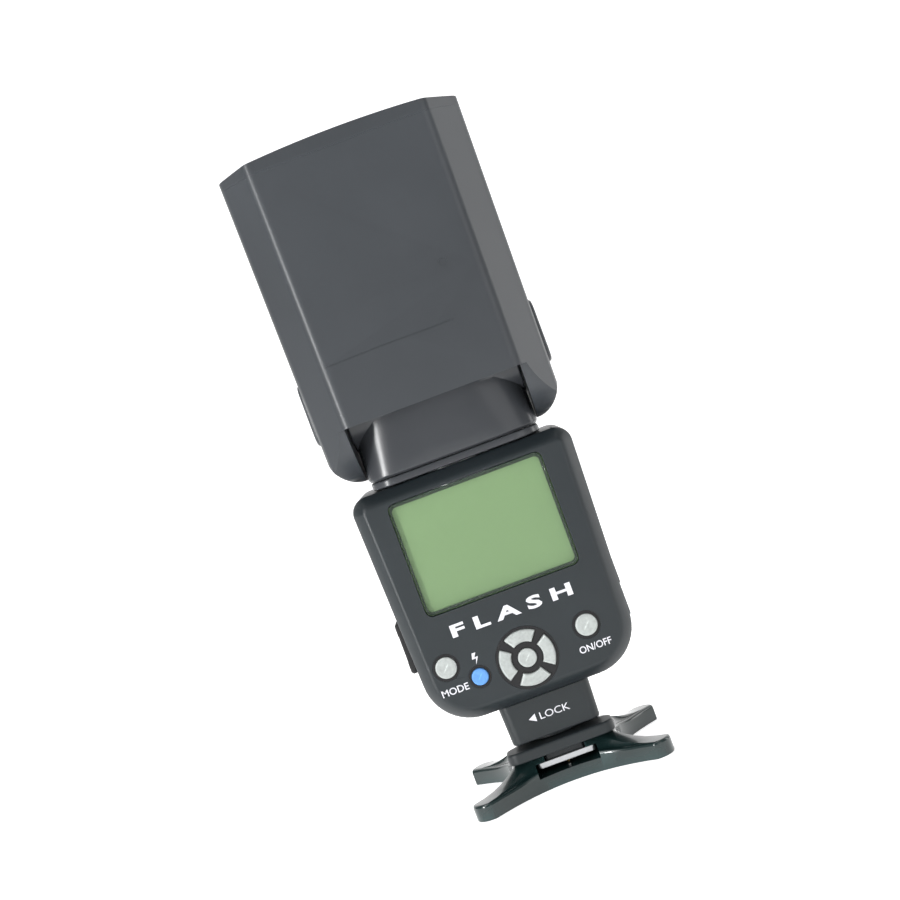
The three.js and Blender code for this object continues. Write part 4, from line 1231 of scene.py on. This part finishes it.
def head_form(name, amount, low, high):
    rings = []
    for height in (low, (low + high) / 2, high):
        rings.append([(x, y, HINGE + height) for x, y in head_outline(amount, height)])
    return skin(name, rings)


def head_side_outline():
    """Side view: straight down to the panel's lower edge, then the ears' arc about the axle."""
    top, deep = RIM_LINE + 3, 40.0
    start = math.degrees(math.asin(PANEL_BOTTOM / EAR_RADIUS))
    outline = [(deep, top), (-deep, top), (-deep, PANEL_BOTTOM)]
    outline += arc((0, 0), EAR_RADIUS, 180 - start, 360 + start, 40)
    return [(y, HINGE + z) for y, z in outline + [(deep, PANEL_BOTTOM)]]


def head_front_outline():
    """Front view: straight sides that round in below the side buttons."""
    round_x, round_z, top, wide = 9.8, 14.0, RIM_LINE + 3, 60.0
    centre_z = round_z - EAR_RADIUS
    outline = [(wide, top), (-wide, top), (-wide, centre_z + 0.01), (-EAR_INNER - round_x, centre_z)]
    outline += arc((-EAR_INNER, centre_z), (round_x, round_z), 180, 270, 12)[1:]
    outline += arc((EAR_INNER, centre_z), (round_x, round_z), 270, 360, 12)
    return [(x, HINGE + z) for x, z in outline + [(wide, centre_z + 0.01)]]


def through(name, outline, axis):
    """An outline, turned anticlockwise if it isn't, pulled right through a piece."""
    area = sum(a[0] * b[1] - b[0] * a[1] for a, b in zip(outline, outline[1:] + outline[:1]))
    outline = outline if area > 0 else list(reversed(outline))
    return pulled(name, outline, axis, [(0, -BEYOND), (0, BEYOND)])


def cut_side_pockets(shell):
    """Pockets for the tilt release and the cap."""
    floor, gap = 35.0, 0.5
    for node in ("tilt_release_button", "ear_cap"):
        side = 1 if extent(node)[0][1] > 0 else -1
        low, high = sorted((side * floor, side * BEYOND))
        combine(shell, straight("pocket", section(node, "x", 4.2, 6, gap), "x", low, high))


def cut_panel_marks(shell):
    """The faint bowed seam across the panel and the round mark above it."""
    seam_z, mark_x, mark_z, half_seam, bow = 12.2, 17.2, 29.2, 0.22, 0.00045
    seam_face, mark_face = (-HALF_DEPTH * (1 + FLARE * z) for z in (seam_z, mark_z))
    seam = [(x, HINGE + seam_z - bow * x * x) for x in range(-28, 15, 3)]
    groove = [(x, z - half_seam) for x, z in seam] + [(x, z + half_seam) for x, z in reversed(seam)]
    combine(shell, straight("seam_groove", groove, "y", seam_face - 3, seam_face + 0.16))
    mark = (mark_x, HINGE + mark_z)
    combine(shell, drill("y", 1.3, mark_face - 3, mark_face + 0.22, mark, sides=24))


def make_head_shells():
    wall, notch, floor, seam_gap, ear_wall = 2.2, 18.5, 20.5, 0.06, 29.9
    everywhere, between_ears = (-BEYOND, BEYOND), (-EAR_INNER, EAR_INNER)
    below, room_top = HINGE - BEYOND, HINGE + floor + 1
    shell = head_form("head_rear_shell", 0, -25.0, RIM_LINE + 4)
    combine(shell, through("side_view", head_side_outline(), "x"), how="INTERSECT")
    combine(shell, through("front_view", head_front_outline(), "y"), how="INTERSECT")
    round_edges(shell, 0.5, 3, 42)
    combine(
        shell,
        drill("x", notch, *between_ears, (0, HINGE), sides=64),
        block("notch_low", between_ears, (-notch, BEYOND), (below, HINGE)),
        block("notch_under", between_ears, (-BEYOND, 0), (below, HINGE + PANEL_BOTTOM)),
        block("notch_front", between_ears, (0, BEYOND), (below, HINGE + notch)),
        head_form("cavity", wall, floor, RIM_LINE + 6),
        block("low_room", (-26, 26), (-24.6, -notch - wall), (HINGE + PANEL_BOTTOM + wall, room_top)),
        block("ear_room_right", (ear_wall, 35.8), (-12, 12), (HINGE + 3, room_top)),
        block("ear_room_left", (-35.8, -ear_wall), (-12, 12), (HINGE + 3, room_top)),
        drill("x", AXLE_BORE, -34.2, 34.2, (0, HINGE)),
    )
    cut_side_pockets(shell)
    cut_panel_marks(shell)
    combine(shell, block("above_rim_line", everywhere, everywhere, (HINGE + RIM_LINE, HINGE + 90)))
    front = shell.copy()
    front.data = shell.data.copy()
    front.name = "head_front_shell"
    bpy.context.scene.collection.objects.link(front)
    combine(shell, block("front_half", everywhere, (-seam_gap, BEYOND), (below, HINGE + 90)))
    combine(front, block("rear_half", everywhere, (-BEYOND, seam_gap), (below, HINGE + 90)))
    for half, node in ((shell, "head_rear_shell"), (front, "head_front_shell")):
        soften(half, 0, angle=32)
        fit(half, "head", "head_plastic", head_plastic, node)


make_head_shells()


def make_tilt_release():
    """The pillow shaped button on the right ear, with moulded grip ribs."""
    face, (y, z) = extent("tilt_release_button")[0][1], middle_of("tilt_release_button", "x")
    button = moulded_slab("tilt_release_button", "x", 4, 1.1, 6, 4, 0.1)
    for step in range(-3, 4):
        groove = rounded_box_outline(11, 0.7, 0.3, (y, z + 1.9 * step), 2)
        combine(button, straight("groove", groove, "x", face - 0.45, face + 1))
    finish(button, "tilt_release", "head_plastic", head_plastic, "tilt_release_button")


def make_ear_cap():
    """The plain cap on the left ear, with a sunk ring."""
    face, shape = extent("ear_cap")[0][0], section("ear_cap", "x", 4)
    cap = moulded_slab("ear_cap", "x", 4, 0.1, 6, 4, 1.1)
    ring = straight("ring", inset(shape, 2.4), "x", face - 1, face + 0.35)
    combine(ring, straight("ring_middle", inset(shape, 3.0), "x", face - 2, face + 2))
    combine(cap, ring)
    finish(cap, "head", "head_plastic", head_plastic, "ear_cap")


make_tilt_release()
make_ear_cap()

# ---------------------------------------------------------------- rim, lens and the two sliding panels
# The rim arches a little over the light side and carries the ribbed lens. The white bounce card and the clear
# wide-angle panel slide out of the slot behind the lens.


def make_rim():
    (_, half), _, _ = extent("lens_rim")
    (lx0, lx1), (ly0, ly1), _ = extent("fresnel_lens")
    middle, corner, low, gap, inside, above = 78.0, 76.0, RIM_LINE + 0.03, 0.25, 100, 300
    rise = middle - corner
    radius = (half * half + rise * rise) / (2 * rise)
    spread = math.degrees(math.asin(half / radius)) + 1
    arch = arc((0, HINGE + middle - radius), radius, 90 - spread, 90 + spread, 32)
    rim = head_form("lens_rim", 0, low - 4, middle + 1)
    arch = [(BEYOND, HINGE + 50), *arch, (-BEYOND, HINGE + 50)]
    combine(rim, through("arch", arch, "y"), how="INTERSECT")
    round_edges(rim, 0.7, 3, 42)
    combine(rim, block("lens_opening", (lx0 - gap, lx1 + gap), (ly0 - gap, ly1 + gap), (inside, above)))
    combine(rim, block("panel_slot", (-26, 26), (-24.8, -21.6), (inside, above)))
    combine(rim, block("below_rim_line", (-BEYOND, BEYOND), (-BEYOND, BEYOND), (inside, HINGE + low)))
    soften(rim, 0, angle=32)
    fit(rim, "head", "head_plastic", head_plastic, "lens_rim")


lens_clear = plastic("lens_clear", (0.80, 0.83, 0.85), 0.12, grain_size=3, grain_depth=0.01, cloudiness=0.1)
lens_clear.node_tree.nodes["Principled BSDF"].inputs["Alpha"].default_value = 0.45


def ribbed_section(span, back, front, count, depth):
    """A strip with a flat back and a front of fine ribs, drawn anticlockwise."""
    left, right = span
    ribs = [(left + (right - left) * step / count, front - depth * (step % 2)) for step in range(count + 1)]
    return [(left, back), (right, back), *reversed(ribs)]


def make_lens():
    x, y, z = extent("fresnel_lens")
    lens = pulled("fresnel_lens", ribbed_section(x, *z, 44, 0.45), "y", [(0, y[0]), (0, y[1])])
    soften(lens, 0, 1, 20)
    fit(lens, "head", "lens", lens_clear, "fresnel_lens")


white_card = plastic(
    "white_card", (0.80, 0.80, 0.78), 0.5, grain_size=0.6, grain_depth=0.006, cloudiness=0.08
)
wide_clear = plastic("wide_clear", (0.78, 0.82, 0.84), 0.1, grain_size=2, grain_depth=0.01)
wide_clear.node_tree.nodes["Principled BSDF"].inputs["Alpha"].default_value = 0.5


def make_card():
    _, (y0, y1), (_, top) = extent("bounce_card")
    card = moulded_slab("bounce_card", "y", 1.5, 0.2, 4, 2)
    for x in (-9, 9):
        combine(card, drill("y", 2.0, y0 - 1, y1 + 1, (x, top + 0.8), sides=24))
    finish(card, "bounce_card", "white_card", white_card, "bounce_card")


def make_wide_panel():
    x, y, (low, high) = extent("wide_panel")
    edge, lean = 0.2, 0.15
    levels = [(lean, low), (0, low + edge), (0, high - edge), (lean, high)]
    panel = pulled("wide_panel", ribbed_section(x, *y, 34, 0.35), "z", levels)
    soften(panel, 0, 1, 20)
    fit(panel, "wide_panel", "clear_plastic", wide_clear, "wide_panel")


make_rim()
make_lens()
make_card()
make_wide_panel()

# ---------------------------------------------------------------- zoom
# The bright reflector and its tube ride on a carriage that a small motor drives along a lead screw.

mirror = plastic("reflector_mirror", (0.88, 0.89, 0.90), 0.12, grain_size=2, grain_depth=0.006, metallic=1.0)
tube_glass = plastic("tube_glass", (0.85, 0.87, 0.88), 0.05, grain_size=2, grain_depth=0.002)
tube_glass.node_tree.nodes["Principled BSDF"].inputs["Alpha"].default_value = 0.5
finish_node("reflector", mirror)
finish_node("flash_tube", tube_glass)
finish_node("zoom_carriage", tray_plastic)
finish_node("guide_rod", steel)
finish_node("zoom_motor", steel)


def make_lead_screw():
    (x0, x1), (y0, y1), (z0, z1) = extent("lead_screw")
    crest, half_pitch = min(x1 - x0, y1 - y0) / 2, 0.5
    root, end = crest * 0.75, crest * 0.7
    profile = [(0.02, z0), (end, z0)]
    for turn in range(int((z1 - 0.6 - z0 - 1) / half_pitch) + 1):
        profile.append((root if turn % 2 else crest, z0 + 1 + turn * half_pitch))
    profile += [(end, z1), (0.02, z1)]
    screw = turned("lead_screw", profile, centre=middle_of("lead_screw", "z"), sides=16)
    finish(screw, "lead_screw", "steel", steel, "lead_screw")


make_lead_screw()
